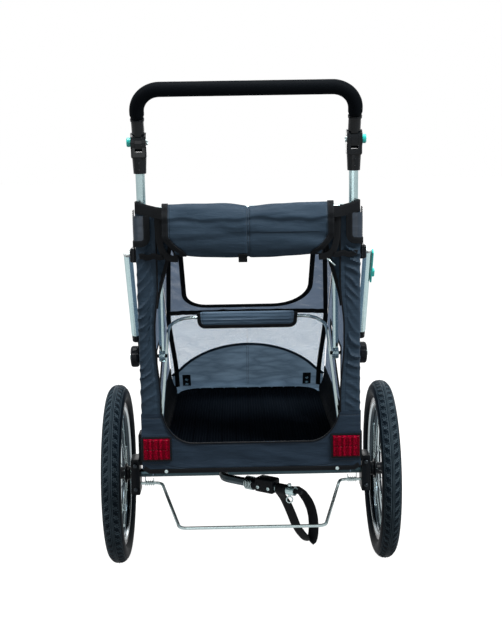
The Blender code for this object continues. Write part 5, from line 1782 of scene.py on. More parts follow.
        # The lower rear panel takes the shaded copy of the slate cloth: painted shade.
        dress(panel, SHADED_SLATE, "chassis", ["rear_sill"])
        reach = 0.2165
        low = [at(x, self.back + 0.0012, self.sill_low + 0.0045 + 0.007 * smooth_step(0.205, reach, abs(x)))
               for x in [-reach + 2 * reach * step / 40 for step in range(41)]]
        dress(webbing("rear_sill_binding", low, BACKWARDS, 0.0095, 0.0038), BINDING, "chassis")
        edge = [at(x, self.back + 0.0018, self.lip_height(x) - 0.0006)
                for x in spots if abs(x) < self.inner_x - 1e-4]
        last = len(edge) - 2
        runs = [edge[min(last, index) + 1] - edge[max(0, min(last, index) - 1)] for index in range(len(edge))]
        facing = by_share([run.normalized().cross(-BACKWARDS) for run in runs])
        dress(webbing("doorway_binding", edge, facing, 0.0066, 0.0022), BINDING, "chassis")

    def build(self) -> None:
        """Make both corners and the lower panel."""
        self.build_sill()
        for side in Side:
            for step in (self.build_column, self.build_gusset, self.build_strap, self.build_return,
                         self.build_skirt_end, self.build_zip):
                step(side)


@dataclass
class Roof:
    """Roof sheet with its side skirts, seams and piping."""

    half_width: float = 0.2178
    top: float = 0.8098
    drop: float = 0.016
    back: float = -0.2566
    front: float = -0.0340
    skirt: float = 0.070
    corner: float = 0.014

    def section(self, travel: float) -> tuple[Vector, Vector]:
        """Point (across, height) and outward direction of the section at a distance from the left hem.

        Args:
            travel: Distance round the section from the left hem.

        Returns:
            The point and its outward direction.
        """
        wall = self.skirt - self.corner
        arc = self.corner * math.pi / 2
        flat = 2 * (self.half_width - self.corner)
        if travel <= wall:
            return Vector((-self.half_width, -self.skirt + travel)), Vector((-1, 0))
        if travel <= wall + arc:
            angle = (travel - wall) / self.corner
            way = Vector((-math.cos(angle), math.sin(angle)))
            return Vector((-self.half_width + self.corner, -self.corner)) + way * self.corner, way
        if travel <= wall + arc + flat:
            return Vector((-self.half_width + self.corner + travel - wall - arc, 0)), Vector((0, 1))
        mirror, way = self.section(2 * (wall + arc) + flat - travel)
        return Vector((-mirror.x, mirror.y)), Vector((-way.x, way.y))

    def point(self, travel: float, share: float, lift: float = 0.0) -> Vector:
        """World point of the roof at a distance round the section and a share from back to front.

        Args:
            travel: Distance round the section from the left hem.
            share: Share of the way from back to front.
            lift: Distance outside the sheet.

        Returns:
            The world point.
        """
        spot, way = self.section(travel)
        spot = spot + way * lift
        fore = self.back + (self.front - self.back) * share
        sag = 0.0045 * (1 - (spot.x / self.half_width) ** 2) * math.sin(math.pi * share)
        sag = sag if way.y > 0.5 else 0.0
        return at(spot.x, fore, self.top - self.drop * share + spot.y - sag)

    def build(self) -> None:
        """Make the roof, its piping and its hems."""
        side_girth = self.skirt - self.corner + self.corner * math.pi / 2
        girth = 2 * side_girth + 2 * (self.half_width - self.corner)
        length = self.front - self.back

        def place(u: float, v: float) -> Vector:
            """Point of the roof sheet."""
            travel = u * girth
            lift = 0.0010 * ripple(travel * 18, v * 5, 0.4) - 0.0012 * bump(travel, girth / 2, 0.004)
            lift *= min(1.0, 10 * v * (1 - v) + 0.2)
            return self.point(travel, v, lift)

        edge = self.skirt - self.corner * 0.2
        roof = grid_sheet("roof_sheet", 110, 44, place, (girth, length),
                          lambda u, v: min(abs(abs(u - 0.5) * girth - (girth / 2 - edge)) - 0.003,
                                           abs(u - 0.5) * girth - 0.004, min(v, 1 - v) * length - 0.006,
                                           min(u, 1 - u) * girth - 0.006))
        closed_sheet(roof, 0.0018, -1.0)
        dress(roof, SLATE, "upper_frame", ["roof_cover"])
        for side in Side:
            left = side is Side.LEFT
            piping = [self.point(edge if left else girth - edge, step / 30, 0.0010) for step in range(31)]
            dress(round_tube(f"roof_piping_{side.word}", piping, 0.0019, fineness=3), BINDING, "upper_frame")
            hem = [self.point(0.005 if left else girth - 0.005, step / 30, 0.0004) for step in range(31)]
            dress(webbing(f"roof_hem_{side.word}", hem, Vector((side.value, 0, 0)), 0.010, 0.0022), BINDING,
                  "upper_frame")
        steps = 120
        for word, share in (("back", 0.022), ("front", 0.978)):
            line = [self.point(girth * step / steps, share, 0.0005) for step in range(steps + 1)]
            flats = [self.section(girth * step / steps)[1] for step in range(steps + 1)]
            facing = by_share([Vector((way.x, 0, way.y)) for way in flats])
            dress(webbing(f"roof_edge_{word}", line, facing, 0.009, 0.0022), BINDING, "upper_frame")


@dataclass
class FrontSlope:
    """Sloping front: window mesh, arched panel, hatch surround, rolled hatch flap and their webbing."""

    half_width: float = 0.1989
    low: tuple[float, float] = (0.4302, FABRIC_FOOT)
    knee: tuple[float, float] = (0.272, 0.526)
    top: tuple[float, float] = (ROOF_FRONT, 0.792)
    foot_corner: float = 0.030
    arch: float = 0.170
    arch_side: float = 0.083
    arch_half: float = 0.172
    panel_half: float = 0.1960
    hatch_half: float = 0.148
    hatch_start: float = 0.0285
    hatch_length: float = 0.2605
    hatch_corner: float = 0.045
    hatch_low_corners: tuple[float, float] = (0.048, 0.086)
    flap: tuple[float, float, float] = (0.2457, 0.5105, 0.120)
    tabs: tuple[float, float] = (-0.1590, 0.1535)

    def plane(self, upper: bool) -> tuple[Vector, Vector, Vector, float]:
        """Origin, direction up the slope, outward normal and length of one of the two slopes.

        Args:
            upper: Whether the upper slope is meant.

        Returns:
            The origin, direction, normal and length.
        """
        start, end = (self.knee, self.top) if upper else (self.low, self.knee)
        first, last = at(0, *start), at(0, *end)
        run = last - first
        way = run.normalized()
        normal = Vector((0, way.z, -way.y))
        return first, way, normal, run.length

    def on(self, upper: bool, x: float, climb: float, lift: float = 0.0) -> Vector:
        """World point on a slope: place across, distance up it and distance outside it."""
        origin, way, normal, _ = self.plane(upper)
        return origin + Vector((x, 0, 0)) + way * climb + normal * lift

    def build_window(self) -> None:
        """Mesh window of the lower slope."""
        length = self.plane(False)[3] - 0.001

        def place(u: float, v: float) -> Vector:
            """Point of the window."""
            climb = length * v
            half, cut = self.half_width, self.foot_corner
            if climb < cut:
                half -= cut - math.sqrt(cut ** 2 - (cut - climb) ** 2)
            x = (u * 2 - 1) * half
            calm = min(1.0, 10 * v * (1 - v)) * min(1.0, 10 * u * (1 - u))
            wave = 0.0050 * ripple(x * 11 + climb * 16, x * 3 - climb * 6, 0.3)
            wave += 0.0016 * math.sin(x * 60 + climb * 70)
            return self.on(False, x, climb, 0.0014 + calm * max(-0.0006, wave) * 0.8)

        window = grid_sheet("front_window_mesh", 60, 44, place, (0.398, length),
                            lambda u, v: abs(u - 0.5) * 0.398 - 0.001)
        fabric(thickened(window, 0.0006), WINDOW_MESH, FABRIC_FOOT, ["front_window"])

    def arch_height(self, x: float) -> float:
        """Climb of the arched panel's upper edge.

        Args:
            x: Place across.

        Returns:
            The climb.
        """
        rise = self.arch - self.arch_side
        radius = (self.arch_half ** 2 + rise ** 2) / (2 * rise)
        inner = min(abs(x), self.arch_half)
        return self.arch - radius + math.sqrt(radius ** 2 - inner ** 2) - (abs(x) - inner) * 1.05

    def build_arch(self) -> None:
        """Arched grey panel inside the window, with its hem."""

        def place(u: float, v: float) -> Vector:
            """Point of the arched panel."""
            x = (u * 2 - 1) * self.panel_half
            climb = 0.0016 + (self.arch_height(x) - 0.0016) * v
            cut = self.foot_corner
            if climb < cut:
                room = self.half_width - 0.0025 - cut + math.sqrt(cut ** 2 - (cut - climb) ** 2)
                x *= min(1.0, room / self.panel_half)
            calm = min(1.0, 8 * v * (1 - v)) * min(1.0, 8 * u * (1 - u))
            wave = 0.0040 * ripple(x * 12 + climb * 14, climb * 5 - x * 3, 0.8)
            wave += 0.0010 * math.sin(x * 70 + climb * 55)
            return self.on(False, x, climb,
                           -0.0022 - 0.0012 * bump(x, 0, 0.003) + calm * max(-0.0030, min(0.0008, wave)))

        panel = grid_sheet("front_arch_panel", 84, 40, place, (0.392, 0.14),
                           lambda u, v: min(abs(u - 0.5) * 0.392 - 0.002,
                                            abs(1 - v) * 0.12 - 0.0055, abs(abs(1 - v) * 0.12 - 0.0015)))
        # The arched panel takes the lit, glowing copy of the slate cloth: painted light.
        fabric(thickened(panel, 0.0016), LIT_GLOWING_SLATE, FABRIC_FOOT, ["front_panel"])
        line = [self.on(False, x, self.arch_height(x) - 0.002, -0.0034)
                for x in [self.panel_half * (step / 40 - 1) for step in range(81)]]
        band("front_arch_hem", line, self.plane(False)[2], (0.0070, 0.0022), SLATE, FABRIC_FOOT)

    def hatch_loop(self, grow: float = 0.0, steps: int = 8) -> list[Vector]:
        """Outline of the hatch in slope coordinates (across, climb).

        Args:
            grow: How far the outline is widened.
            steps: Steps of each corner.

        Returns:
            The outline's points.
        """
        half, start = self.hatch_half + grow, self.hatch_start - grow
        end = self.hatch_start + self.hatch_length + grow
        corners = [Vector((-half, start)), Vector((half, start)), Vector((half, end)), Vector((-half, end))]
        radii = [corner + grow for corner in (*self.hatch_low_corners, self.hatch_corner, self.hatch_corner)]
        return rounded_path(corners, radii, steps, closed=True)

    def build_surround(self) -> None:
        """Mesh round the hatch opening and the opening's binding."""
        length = self.plane(True)[3] - 0.001
        loop = resampled(self.hatch_loop(), 160, closed=True)
        centre = Vector((0.0, self.hatch_start + self.hatch_length / 2))
        outer = []
        for point in loop:
            way = point - centre
            scale = min(self.half_width / max(abs(way.x), 1e-6),
                        ((length - centre.y) if way.y > 0 else (centre.y - 0.0008)) / max(abs(way.y), 1e-6))
            outer.append(centre + way * scale)
        for corner in (Vector((-self.half_width, 0.0008)), Vector((self.half_width, 0.0008)),
                       Vector((self.half_width, length)), Vector((-self.half_width, length))):
            nearest = min(range(len(outer)), key=lambda index: (outer[index] - corner).length)
            outer[nearest] = corner
        count = len(loop)

        def place(u: float, v: float) -> Vector:
            """Point between the hatch and the slope's outline."""
            index = round(u * count) % count
            spot = loop[index].lerp(outer[index], v)
            calm = smooth_step(0.14, 0.40, v) * (1 - smooth_step(0.70, 0.95, v))
            wave = 0.0030 * ripple(spot.x * 16, spot.y * 22, 5.2)
            wave += 0.0014 * math.sin(spot.y * 120 + spot.x * 90)
            lift = 0.0004 + 0.0011 * smooth_step(0.3, 0.8, v) + calm * max(-0.0006, wave)
            return self.on(True, spot.x, spot.y, lift)

        mesh = grid_sheet("hatch_surround_mesh", count, 12, place, (1.2, 0.07), lambda u, v: v * 0.06 - 0.006)
        outward(mesh, 0.00004)
        fabric(thickened(mesh, 0.0008), WALL_MESH, FABRIC_FOOT, ["hatch_surround"])
        ring = [self.on(True, point.x, point.y, 0.0004)
                for point in resampled(self.hatch_loop(0.0035), 150, True)]
        band("hatch_binding", ring, self.plane(True)[2], (0.0115, 0.0030), BINDING, FABRIC_FOOT, closed=True,
             soft_edge=0.0010)

    def build_flap(self) -> None:
        """Hatch flap rolled up under the opening, seen as a pleated panel with a binding."""
        fore, height, half = self.flap

        def place(u: float, v: float) -> Vector:
            """Point of the rolled hatch flap."""
            angle = math.tau * u
            share = v * 2 - 1
            rise, back = math.sin(angle), math.cos(angle)
            narrow = 1.0 - 0.05 * smooth_step(0.0, 1.0, -rise)
            x = share * half * narrow
            ease = 1.0 - 0.25 * smooth_step(0.90, 1.0, abs(share)) ** 2
            z = height + rise * 0.0195 * ease
            pleat = 0.0011 * math.cos(math.tau * rise * 2.4) * (1.0 if back > 0 else 0.0)
            wave = 0.0010 * ripple(x * 20, rise * 3, 2.2)
            return at(x, fore - back * (0.0058 * ease + pleat + wave), z)

        skin = grid_sheet("hatch_flap_skin", 40, 60, place, (0.09, 0.24),
                          lambda u, v: (1 - abs(v * 2 - 1)) * 0.12 - 0.010)
        flap = settle(closed_up(outward(skin)), "hatch_flap_roll")
        # The rolled hatch flap takes the lit copy of the slate cloth: painted light.
        fabric(flap, LIT_FLAP_SLATE, FABRIC_FOOT, ["hatch_flap"])
        corners = [Vector((-0.119, 0.0185)), Vector((-0.116, -0.0165)), Vector((0.116, -0.0165)),
                   Vector((0.119, 0.0185))]
        line = [at(point.x, fore - 0.0072, height + point.y)
                for point in resampled(rounded_path(corners, 0.014, 6), 70)]
        band("hatch_flap_binding", line, BACKWARDS, (0.0088, 0.0030), BINDING, FABRIC_FOOT, soft_edge=0.0010)

    def build_foot(self) -> None:
        """Cloth from the mat's rounded front edge to the front panel."""
        steps = 120

        def edge(half: float, back: float, fore: float, corner: float) -> list[Vector]:
            """Edge of the cloth with rounded corners."""
            corners = [(-half, back), (-half, fore), (half, fore), (half, back)]
            return resampled(rounded_path([Vector(spot) for spot in corners], corner, 10), steps)

        inner = edge(0.176, 0.335, 0.397, 0.061)
        outer = edge(0.1965, 0.345, 0.4185, 0.055)

        def place(u: float, v: float) -> Vector:
            """Point of the cloth."""
            index = round(u * (steps - 1))
            spot = inner[index].lerp(outer[index], v)
            return at(spot.x, spot.y, 0.3090 + 0.0022 * v * v)

        sheet = grid_sheet("front_foot_panel", steps - 1, 6, place, (0.47, 0.023))
        # The foot cloth takes the lit, glowing copy of the slate cloth: painted light.
        fabric(thickened(sheet, 0.0010), LIT_GLOWING_SLATE, FABRIC_FOOT)

    def build_webbing(self) -> None:
        """Corner bindings down both slopes, the anchor tabs with rivets and the knee's cross band."""
        (_, _, upper_normal, length), (_, _, lower_normal, lower_length) = self.plane(True), self.plane(False)
        for side, tab_x in zip(Side, self.tabs):
            sign = side.value
            upper = [self.on(True, sign * (0.1935 - 0.062 * climb), climb, -0.0012)
                     for climb in [length * (1 - step / 24) * 0.995 for step in range(24)]]
            lower = [self.on(False, sign * (0.1835 + 0.0105 * smooth_step(0.06, 0.27, climb)), climb, -0.0052)
                     for climb in [lower_length * (1 - step / 20) for step in range(1, 21)]]
            knee = [self.on(True, sign * 0.1935, 0.0, -0.0012)]
            name = f"front_corner_binding_{side.word}"
            band(f"{name}_upper", upper + knee, upper_normal, (0.0105, 0.0030), BINDING, FABRIC_FOOT)
            band(f"{name}_lower", knee + lower, lower_normal, (0.0115, 0.0030), WEBBING, FABRIC_FOOT)
            line = [self.on(False, tab_x, climb, -0.0048) for climb in (0.004, 0.016, 0.030, 0.044, 0.060)]
            band(f"anchor_tab_{side.word}", resampled(line, 9), lower_normal, (0.021, 0.0026), WEBBING,
                 FABRIC_FOOT)
            spots = [self.on(False, tab_x, climb, -0.0066) for climb in (0.029, 0.046)]
            rivets = screws(f"anchor_rivets_{side.word}", spots, -lower_normal, (0.0042, 0.0024))
            fabric(rivets, STEEL, FABRIC_FOOT)
        line = [at(x, 0.2680 + 0.0015 * ripple(x * 40, 0.0),
                   0.5268 - 0.0030 * (x / 0.19) ** 2 + 0.0016 * ripple(x * 60, 3.0))
                for x in [-0.192 + 0.384 * step / 80 for step in range(81)]]
        band("front_knee_binding", line, Vector((0, -1.0, 0.15)), (0.0105, 0.0030), BINDING, FABRIC_FOOT)

    def build(self) -> None:
        """Make every piece of the front."""
        self.build_window()
        self.build_arch()
        self.build_surround()
        self.build_flap()
        self.build_foot()
        self.build_webbing()


@dataclass
class SideWalls:
    """Side sheets: mesh over a black foot panel, with the slit beside the hoop's leg."""

    x: float = 0.201
    back: float = -0.2517
    foot: float = 0.2980
    knee: tuple[float, float] = (0.275, 0.526)
    nose: float = 0.4300
    heights: tuple[float, float] = (0.8068, 0.7908)
    slit_back: float = -0.057
    slit_fore: float = 0.210
    slit_heights: tuple[float, float] = (0.490, 0.508)
    slit_ease: float = 0.004

    def top_edge(self, fore: float) -> float:
        """Height of the sheet's upper edge.

        Args:
            fore: Distance in front of the wheel axle.

        Returns:
            The height.
        """
        (knee, knee_height), (back_height, front_height) = self.knee, self.heights
        if fore <= ROOF_FRONT:
            return back_height - (back_height - front_height) * (fore - self.back) / (ROOF_FRONT - self.back)
        if fore <= knee:
            return front_height - (front_height - knee_height) * (fore - ROOF_FRONT) / (knee - ROOF_FRONT)
        return knee_height - (knee_height - self.foot) * (fore - knee) / (self.nose - knee)

    def leg_edge(self, fore: float) -> float:
        """Height of the sheet's lower part along the hoop's leg."""
        return 0.292 + (fore + 0.200) * 0.4978

    def slit_edge(self, fore: float) -> float:
        """Height of the upper part's lower edge along the slit.

        Args:
            fore: Distance in front of the wheel axle.

        Returns:
            The height.
        """
        if fore <= self.slit_back or fore >= self.slit_fore:
            return self.leg_edge(fore)
        share = (fore - self.slit_back) / (self.slit_fore - self.slit_back)
        opened = self.slit_heights[0] + (self.slit_heights[1] - self.slit_heights[0]) * share
        closing = min(1.0, (fore - self.slit_back) / self.slit_ease, (self.slit_fore - fore) / self.slit_ease)
        return self.leg_edge(fore) + (opened - self.leg_edge(fore)) * max(0.0, closing)

    def build_wall(self, side: Side) -> None:
        """One side sheet of two halves that meet outside the slit.

        Args:
            side: Side of the trailer.
        """
        sign = side.value
        end, ease = self.nose - 0.0002, self.slit_ease
        stations = sorted({self.back, self.slit_back - 0.0001, self.slit_back, self.slit_back + ease,
                           self.slit_fore - ease, self.slit_fore, ROOF_FRONT, self.knee[0], end}
                          | {round(self.back + (end - self.back) * step / 64, 5) for step in range(65)})
        columns = len(stations) - 1

        def sheet_half(upper: bool) -> Place:
            """Place function of the upper or the lower half."""
            def place(u: float, v: float) -> Vector:
                """Point of the half."""
                fore = stations[min(columns, round(u * columns))]
                top = self.top_edge(fore)
                middle = min(self.leg_edge(fore), top)
                low, high = (min(self.slit_edge(fore), top), top) if upper else (self.foot, middle)
                z = low + (high - low) * v
                calm = min(1.0, 8 * u * (1 - u)) * (min(1.0, 6 * v * (1 - v)) if upper else min(1.0, 4 * v))
                wave = 0.0020 * ripple(fore * 10, z * 8, 1.1 + sign) + 0.0009 * math.sin(fore * 46 + z * 60)
                return at(sign * (self.x + calm * wave), fore, z)

            return place

        halves = [grid_sheet(f"half_{upper}", columns, 18, sheet_half(upper), (0.68, 0.3))
                  for upper in (False, True)]
        wall = merged(f"side_wall_mesh_{side.word}", halves)
        thickened(outward(wall, 0.00005), 0.0010)
        fabric(wall, WALL_MESH, FABRIC_FOOT, [f"side_wall_{side.word}"])

    def build_trim(self, side: Side) -> None:
        """Black foot panel, the binding of the slit and the binding under the roof.

        Args:
            side: Side of the trailer.
        """
        sign = side.value
        inner_edge, outer_edge, rail = 0.1815, self.x - 0.0024, 0.3090

        def place(u: float, v: float) -> Vector:
            """Point of the foot panel."""
            fore = self.back + (0.418 - self.back) * u
            high = min(0.366, self.top_edge(fore) - 0.002)
            bend = 0.5 * math.pi * v
            x = inner_edge + (outer_edge - inner_edge) * math.sin(bend)
            z = rail + (high - rail) * (1 - math.cos(bend))
            return at(sign * (x - 0.0008 * abs(ripple(fore * 14, z * 20, 3.0))), fore, z)

        foot = grid_sheet(f"side_foot_panel_{side.word}", 60, 12, place, (0.670, 0.063),
                          lambda u, v: (1 - v) * 0.063 - 0.004)
        fabric(thickened(foot, 0.0014), BLACK_CLOTH, FABRIC_FOOT)
        steps, low, high = 26, self.slit_heights[0], self.slit_heights[1]
        fores = [self.slit_back + (self.slit_fore - self.slit_back) * step / steps
                 for step in range(steps + 1)]
        line = [at(sign * self.x, fore, self.leg_edge(fore) - 0.002) for fore in fores]
        line += [at(sign * self.x, fore, low + (high - low) * (1 - index / steps) + 0.002)
                 for index, fore in enumerate(reversed(fores))]
        outwards = Vector((sign, 0, 0))
        band(f"slit_binding_{side.word}", resampled(line, 90, True), outwards, (0.0080, 0.0030), BINDING,
             FABRIC_FOOT, closed=True)
        slope = [at(sign * self.x, fore, self.top_edge(fore) - 0.004)
                 for fore in [-0.030 + 0.30 * step / 30 for step in range(31)]]
        band(f"side_slope_binding_{side.word}", slope, outwards, (0.0090, 0.0030), BINDING, FABRIC_FOOT)

    def build(self) -> None:
        """Make both side walls."""
        for side in Side:
            self.build_wall(side)
            self.build_trim(side)


# Wheels
@dataclass
class Wheel:
    """Treaded tyre, rim, spokes and hub of one side."""

    side: Side
    track: float = 0.593
    section: float = 0.02125
    tyre_wall: float = 0.0045
    rim_radius: float = 0.160
    rim_depth: float = 0.0175
    rim_half: float = 0.0135
    tread_steps: int = 720
    tread_pitch: float = math.tau * WHEEL_RADIUS / 60
    tread_depth: float = 0.0024
    crown: float = 0.0205
    spokes: int = 16
    hub_half: float = 0.025
    flange_offset: float = 0.015
    axle_end: float = 0.268
    gap: float = 0.0003

    @property
    def body(self) -> str:
        """Name of the wheel's body."""
        return f"wheel_{self.side.word}"

    def turn(self, name: str, profile: Sequence[tuple[float, float]], steps: int, angle: float) -> Piece:
        """Turned part of the wheel, on the axle and smoothed."""
        return smooth(turned(name, profile, self.place(), steps), angle)

    def place(self) -> Matrix:
        """Matrix that puts a turned wheel part on the axle, its Z outwards.

        Returns:
            The matrix.
        """
        sign = self.side.value
        middle = at(sign * self.track / 2, 0, WHEEL_RADIUS)
        return frame_matrix(middle, Vector((0, 1, 0)), Vector((0, 0, sign)))

    def tread(self, around: float, across: float) -> tuple[float, float]:
        """Depth of the tread at a place round the tyre and across its crown, and the share that sets the
        painted highlight on its cut edges.

        Args:
            around: Distance round the tyre.
            across: Distance from the crown's middle.

        Returns:
            The depth and the share for the painted highlight.
        """
        away = abs(across)
        if away > self.crown:
            return 0.0004 * bump(away, 0.0225, 0.0006), 0.0
        lane = 0.0018 * bump(away, 0.0023, 0.0008) + 0.0012 * bump(away, 0.0180, 0.0009)
        reach = (away - 0.004) / 0.0135
        lean = around + (0.5 * self.tread_pitch if across > 0 else 0.0)
        lean += 0.0240 * (reach + 0.16 * math.sin(math.tau * reach))
        phase = (lean / self.tread_pitch) % 1.0
        cuts = bump(phase, 0.5, 0.09) + 0.8 * bump(phase, 0.74, 0.05) + 0.5 * bump(phase, 0.2, 0.04)
        sipe = cuts * smooth_step(0.0040, 0.0058, away) * (1 - smooth_step(0.0155, 0.0185, away))
        lug = bump(phase, 0.0, 0.16) * smooth_step(0.0165, 0.0190, away)
        depth = min(self.tread_depth, lane + self.tread_depth * sipe + 0.0012 * lug)
        return depth, 1.0 if lane > 0.0004 else min(1.0, sipe + 0.5 * lug)

    def build_tyre(self) -> None:
        """Tyre of C section with a centre line, curved sipes and shoulder lugs."""
        centre = WHEEL_RADIUS - self.section
        spread = math.acos(max(-0.95, (self.rim_radius + self.gap - centre) / self.section))
        outer_steps, inner_steps = 48, 10

        def arc(radius: float, steps: int, way: int) -> list[tuple[float, float]]:
            """Arc of the tyre's section."""
            angles = [way * spread * (1 - 2 * step / steps) for step in range(steps + 1)]
            return [(centre + radius * math.cos(angle), radius * math.sin(angle)) for angle in angles]

        outer = arc(self.section, outer_steps, 1)
        inner = arc(self.section - self.tyre_wall, inner_steps, -1)
        tyre = turned(f"tyre_tread_{self.side.word}", outer + inner, Matrix.Identity(4), self.tread_steps)
        # The tread_depth attribute holds the share for the painted highlight on the cut edges, not a depth.
        cuts = tyre.data.attributes.new("tread_depth", "FLOAT", "POINT")
        for vertex in tyre.data.vertices:
            flat = math.hypot(vertex.co.x, vertex.co.y)
            reach = math.hypot(flat - centre, vertex.co.z)
            if reach < self.section - 0.001:
                continue
            tilt = math.atan2(vertex.co.z, flat - centre)
            around = math.atan2(vertex.co.y, vertex.co.x) * WHEEL_RADIUS
            depth, cuts.data[vertex.index].value = self.tread(around, tilt * self.section)
            share = (reach - depth) / reach
            moved = centre + (flat - centre) * share
            vertex.co = Vector((vertex.co.x * moved / flat, vertex.co.y * moved / flat, vertex.co.z * share))
        tyre.data.transform(self.place())
        dress(smooth(tyre, 60), TYRE, self.body, [f"tyre_{self.side.word}"])

    def build_rim(self) -> None:
        """Box rim with hooked edges, brake tracks and the valve."""
        half, top, bottom = self.rim_half, self.rim_radius, self.rim_radius - self.rim_depth
        right = [(top - 0.0040, 0.0060), (top - 0.0036, half * 0.60), (top - 0.0008, half * 0.72),
                 (top, half * 0.82), (top - 0.0001, half), (top - 0.0022, half + 0.0004),
                 (bottom + 0.0070, half * 0.98), (bottom + 0.0058, half * 0.90),
                 (bottom + 0.0018, half * 0.60), (bottom + 0.0002, half * 0.34)]
        profile = right + [(radius, -height) for radius, height in right[::-1]]
        rim = self.turn(f"rim_ring_{self.side.word}", profile, 128, 35)
        dress(rim, RIM_BLACK, self.body, [f"rim_{self.side.word}"])
        skin = [(bottom + 0.0066, half * 0.93), (bottom + 0.0064, half * 0.97),
                (bottom + 0.0052, half * 0.90 + 0.0006), (bottom + 0.0030, half * 0.72),
                (bottom + 0.0034, half * 0.70)]
        tracks = [self.turn("rim_track", [(radius, sign * height) for radius, height in skin], 128, 35)
                  for sign in (-1.0, 1.0)]
        dress(merged(f"rim_tracks_{self.side.word}", tracks), RIM_METAL, self.body)
        base, tip = [self.place() @ Vector((radius, 0, 0)) for radius in (bottom + 0.001, bottom - 0.030)]
        stem = rod_between("valve_stem", base, tip, 0.0027, 4)
        cap = rod_between("valve_cap", tip.lerp(base, 0.30), tip, 0.0038, 4)
        dress(merged(f"valve_{self.side.word}", [stem, cap]), BLACK_PLASTIC, self.body)

    def build_spokes(self) -> None:
        """Spokes with nipples, laced from the hub's flanges."""
        place = self.place()
        root, tip = 0.0180, self.rim_radius - self.rim_depth
        pieces = []
        for start_z in (self.flange_offset, -self.flange_offset):
            start = Vector((root, 0, start_z))
            end = Vector((tip, 0, start_z * 0.15))
            way = (end - start).normalized()
            wire = round_tube("spoke", [start - Vector((0, 0, math.copysign(0.004, start_z))), start,
                                        start + way * 0.004, end], 0.0010, fineness=1)
            nipple = rod_between("nipple", end - way * 0.011, end, 0.0019, 2)
            pieces.append(merged("spoke", [wire, nipple]))
        spokes = []
        for index in range(self.spokes):
            turn = Matrix.Rotation(math.tau * (index + 0.5) / self.spokes, 4, "Z")
            spokes.append(copied(pieces[index % 2], place @ turn, f"spoke_{index}"))
        for piece in pieces:
            bpy.data.objects.remove(piece)
        dress(merged(f"spokes_{self.side.word}", spokes), STEEL, self.body)

    def build_hub(self) -> None:
        """Hub shell with rounded flanges, and the axle's end cap."""
        half, bore = self.hub_half, 0.0063
        right = [(bore, half), (0.0120, half), (0.0148, half - 0.0012), (0.0155, half - 0.003),
                 (0.0155, 0.0178), (0.0205, 0.0172), (0.0220, 0.0164), (0.0220, 0.0136), (0.0205, 0.0128),
                 (0.0155, 0.0120), (0.0138, 0.0080), (0.0134, 0.0)]
        profile = right + [(radius, -height) for radius, height in right[-2::-1]]
        hub = self.turn(f"hub_shell_{self.side.word}", profile, 48, 40)
        dress(hub, BLACK_PLASTIC, self.body, [f"hub_{self.side.word}"])
        start, out = self.axle_end + self.gap - self.track / 2, half + self.gap
        cap = [(0.0, start), (0.006, start), (0.006, out), (0.0088, out), (0.0100, out + 0.0012),
               (0.0100, out + 0.0036), (0.0086, out + 0.0050), (0.0040, out + 0.0050), (0.0036, out + 0.0040),
               (0.0, out + 0.0040)]
        axle = self.turn(f"wheel_axle_pin_{self.side.word}", cap, 36, 35)
        dress(axle, STEEL, "chassis", [f"wheel_axle_{self.side.word}"])

    def build(self) -> None:
        """Make every piece of the wheel."""
        self.build_tyre()
        self.build_rim()
        self.build_spokes()
        self.build_hub()


# Handle, frame, chassis
@dataclass
class PushHandle:
    """Foam grip, pivots and push buttons."""

    lean: float = math.radians(28.0)
    reach: float = 0.1087
    grip_start: float = 0.051
    grip_radius: float = 0.014
    grip_corner: float = 0.045
    screw_drops: tuple[float, float] = (0.040, 0.053)

    def spot(self, x: float, distance: float) -> Vector:
        """Point at a distance up the handle's arms from the pivot axis."""
        way = Vector((0, -math.sin(self.lean), math.cos(self.lean)))
        return at(x, -PIVOT_BACK, PIVOT_HEIGHT) + way * distance

    def build_grip(self) -> None:
        """Thick foam sleeve over the U bar, with its soft ends."""
        corners = [self.spot(-UPRIGHT_X, self.grip_start), self.spot(-UPRIGHT_X, self.reach),
                   self.spot(UPRIGHT_X, self.reach), self.spot(UPRIGHT_X, self.grip_start)]
        path = resampled(rounded_path(corners, self.grip_corner, 16), 150)
        last = len(path) - 1
        taper = [1.0 - 0.20 * bump(min(index, last - index), 0.0, 1.1) + 0.008 * ripple(index * 0.21, 0.5)
                 for index in range(len(path))]
        sleeve = round_tube("foam_grip_sleeve", path, self.grip_radius, fineness=12, taper=taper)
        dress(smooth(sleeve, 60), FOAM, "handle", ["handle_grip"])

    def build_details(self) -> None:
        """Collar rings, pivot screws and the screws of the sockets' ferrules."""
        for side in Side:
            x = side.value * UPRIGHT_X
            ring = rod_between(f"grip_collar_{side.word}", self.spot(x, 0.0445), self.spot(x, 0.0505),
                               0.0136, 8)
            dress(ring, GLOSSY_BLACK, "handle")
            pivot = at(x, -PIVOT_BACK, PIVOT_HEIGHT)
            inner = pivot - Vector((side.value * 0.0152, 0, 0))
            screw = screw_head(f"pivot_screw_{side.word}", inner, Vector((-side.value, 0, 0)), 0.0060, 0.0030)
            dress(screw, STEEL, "upper_frame")
            down = Vector((0, math.sin(UPRIGHT_LEAN), -math.cos(UPRIGHT_LEAN)))
            backs = [pivot + down * drop + BACKWARDS * 0.0142 for drop in self.screw_drops]
            dress(screws(f"ferrule_screws_{side.word}", backs, BACKWARDS, (0.0026, 0.0016)), GLOSSY_BLACK,
                  "upper_frame")

    def build(self) -> None:
        """Make every piece of the handle."""
        self.build_grip()
        self.build_details()
        refinish(GLOSSY_BLACK, "handle_knuckle_left", "handle_knuckle_right", "handle_socket_left",
                 "handle_socket_right")
        refinish(TEAL, "handle_button_left", "handle_button_right")


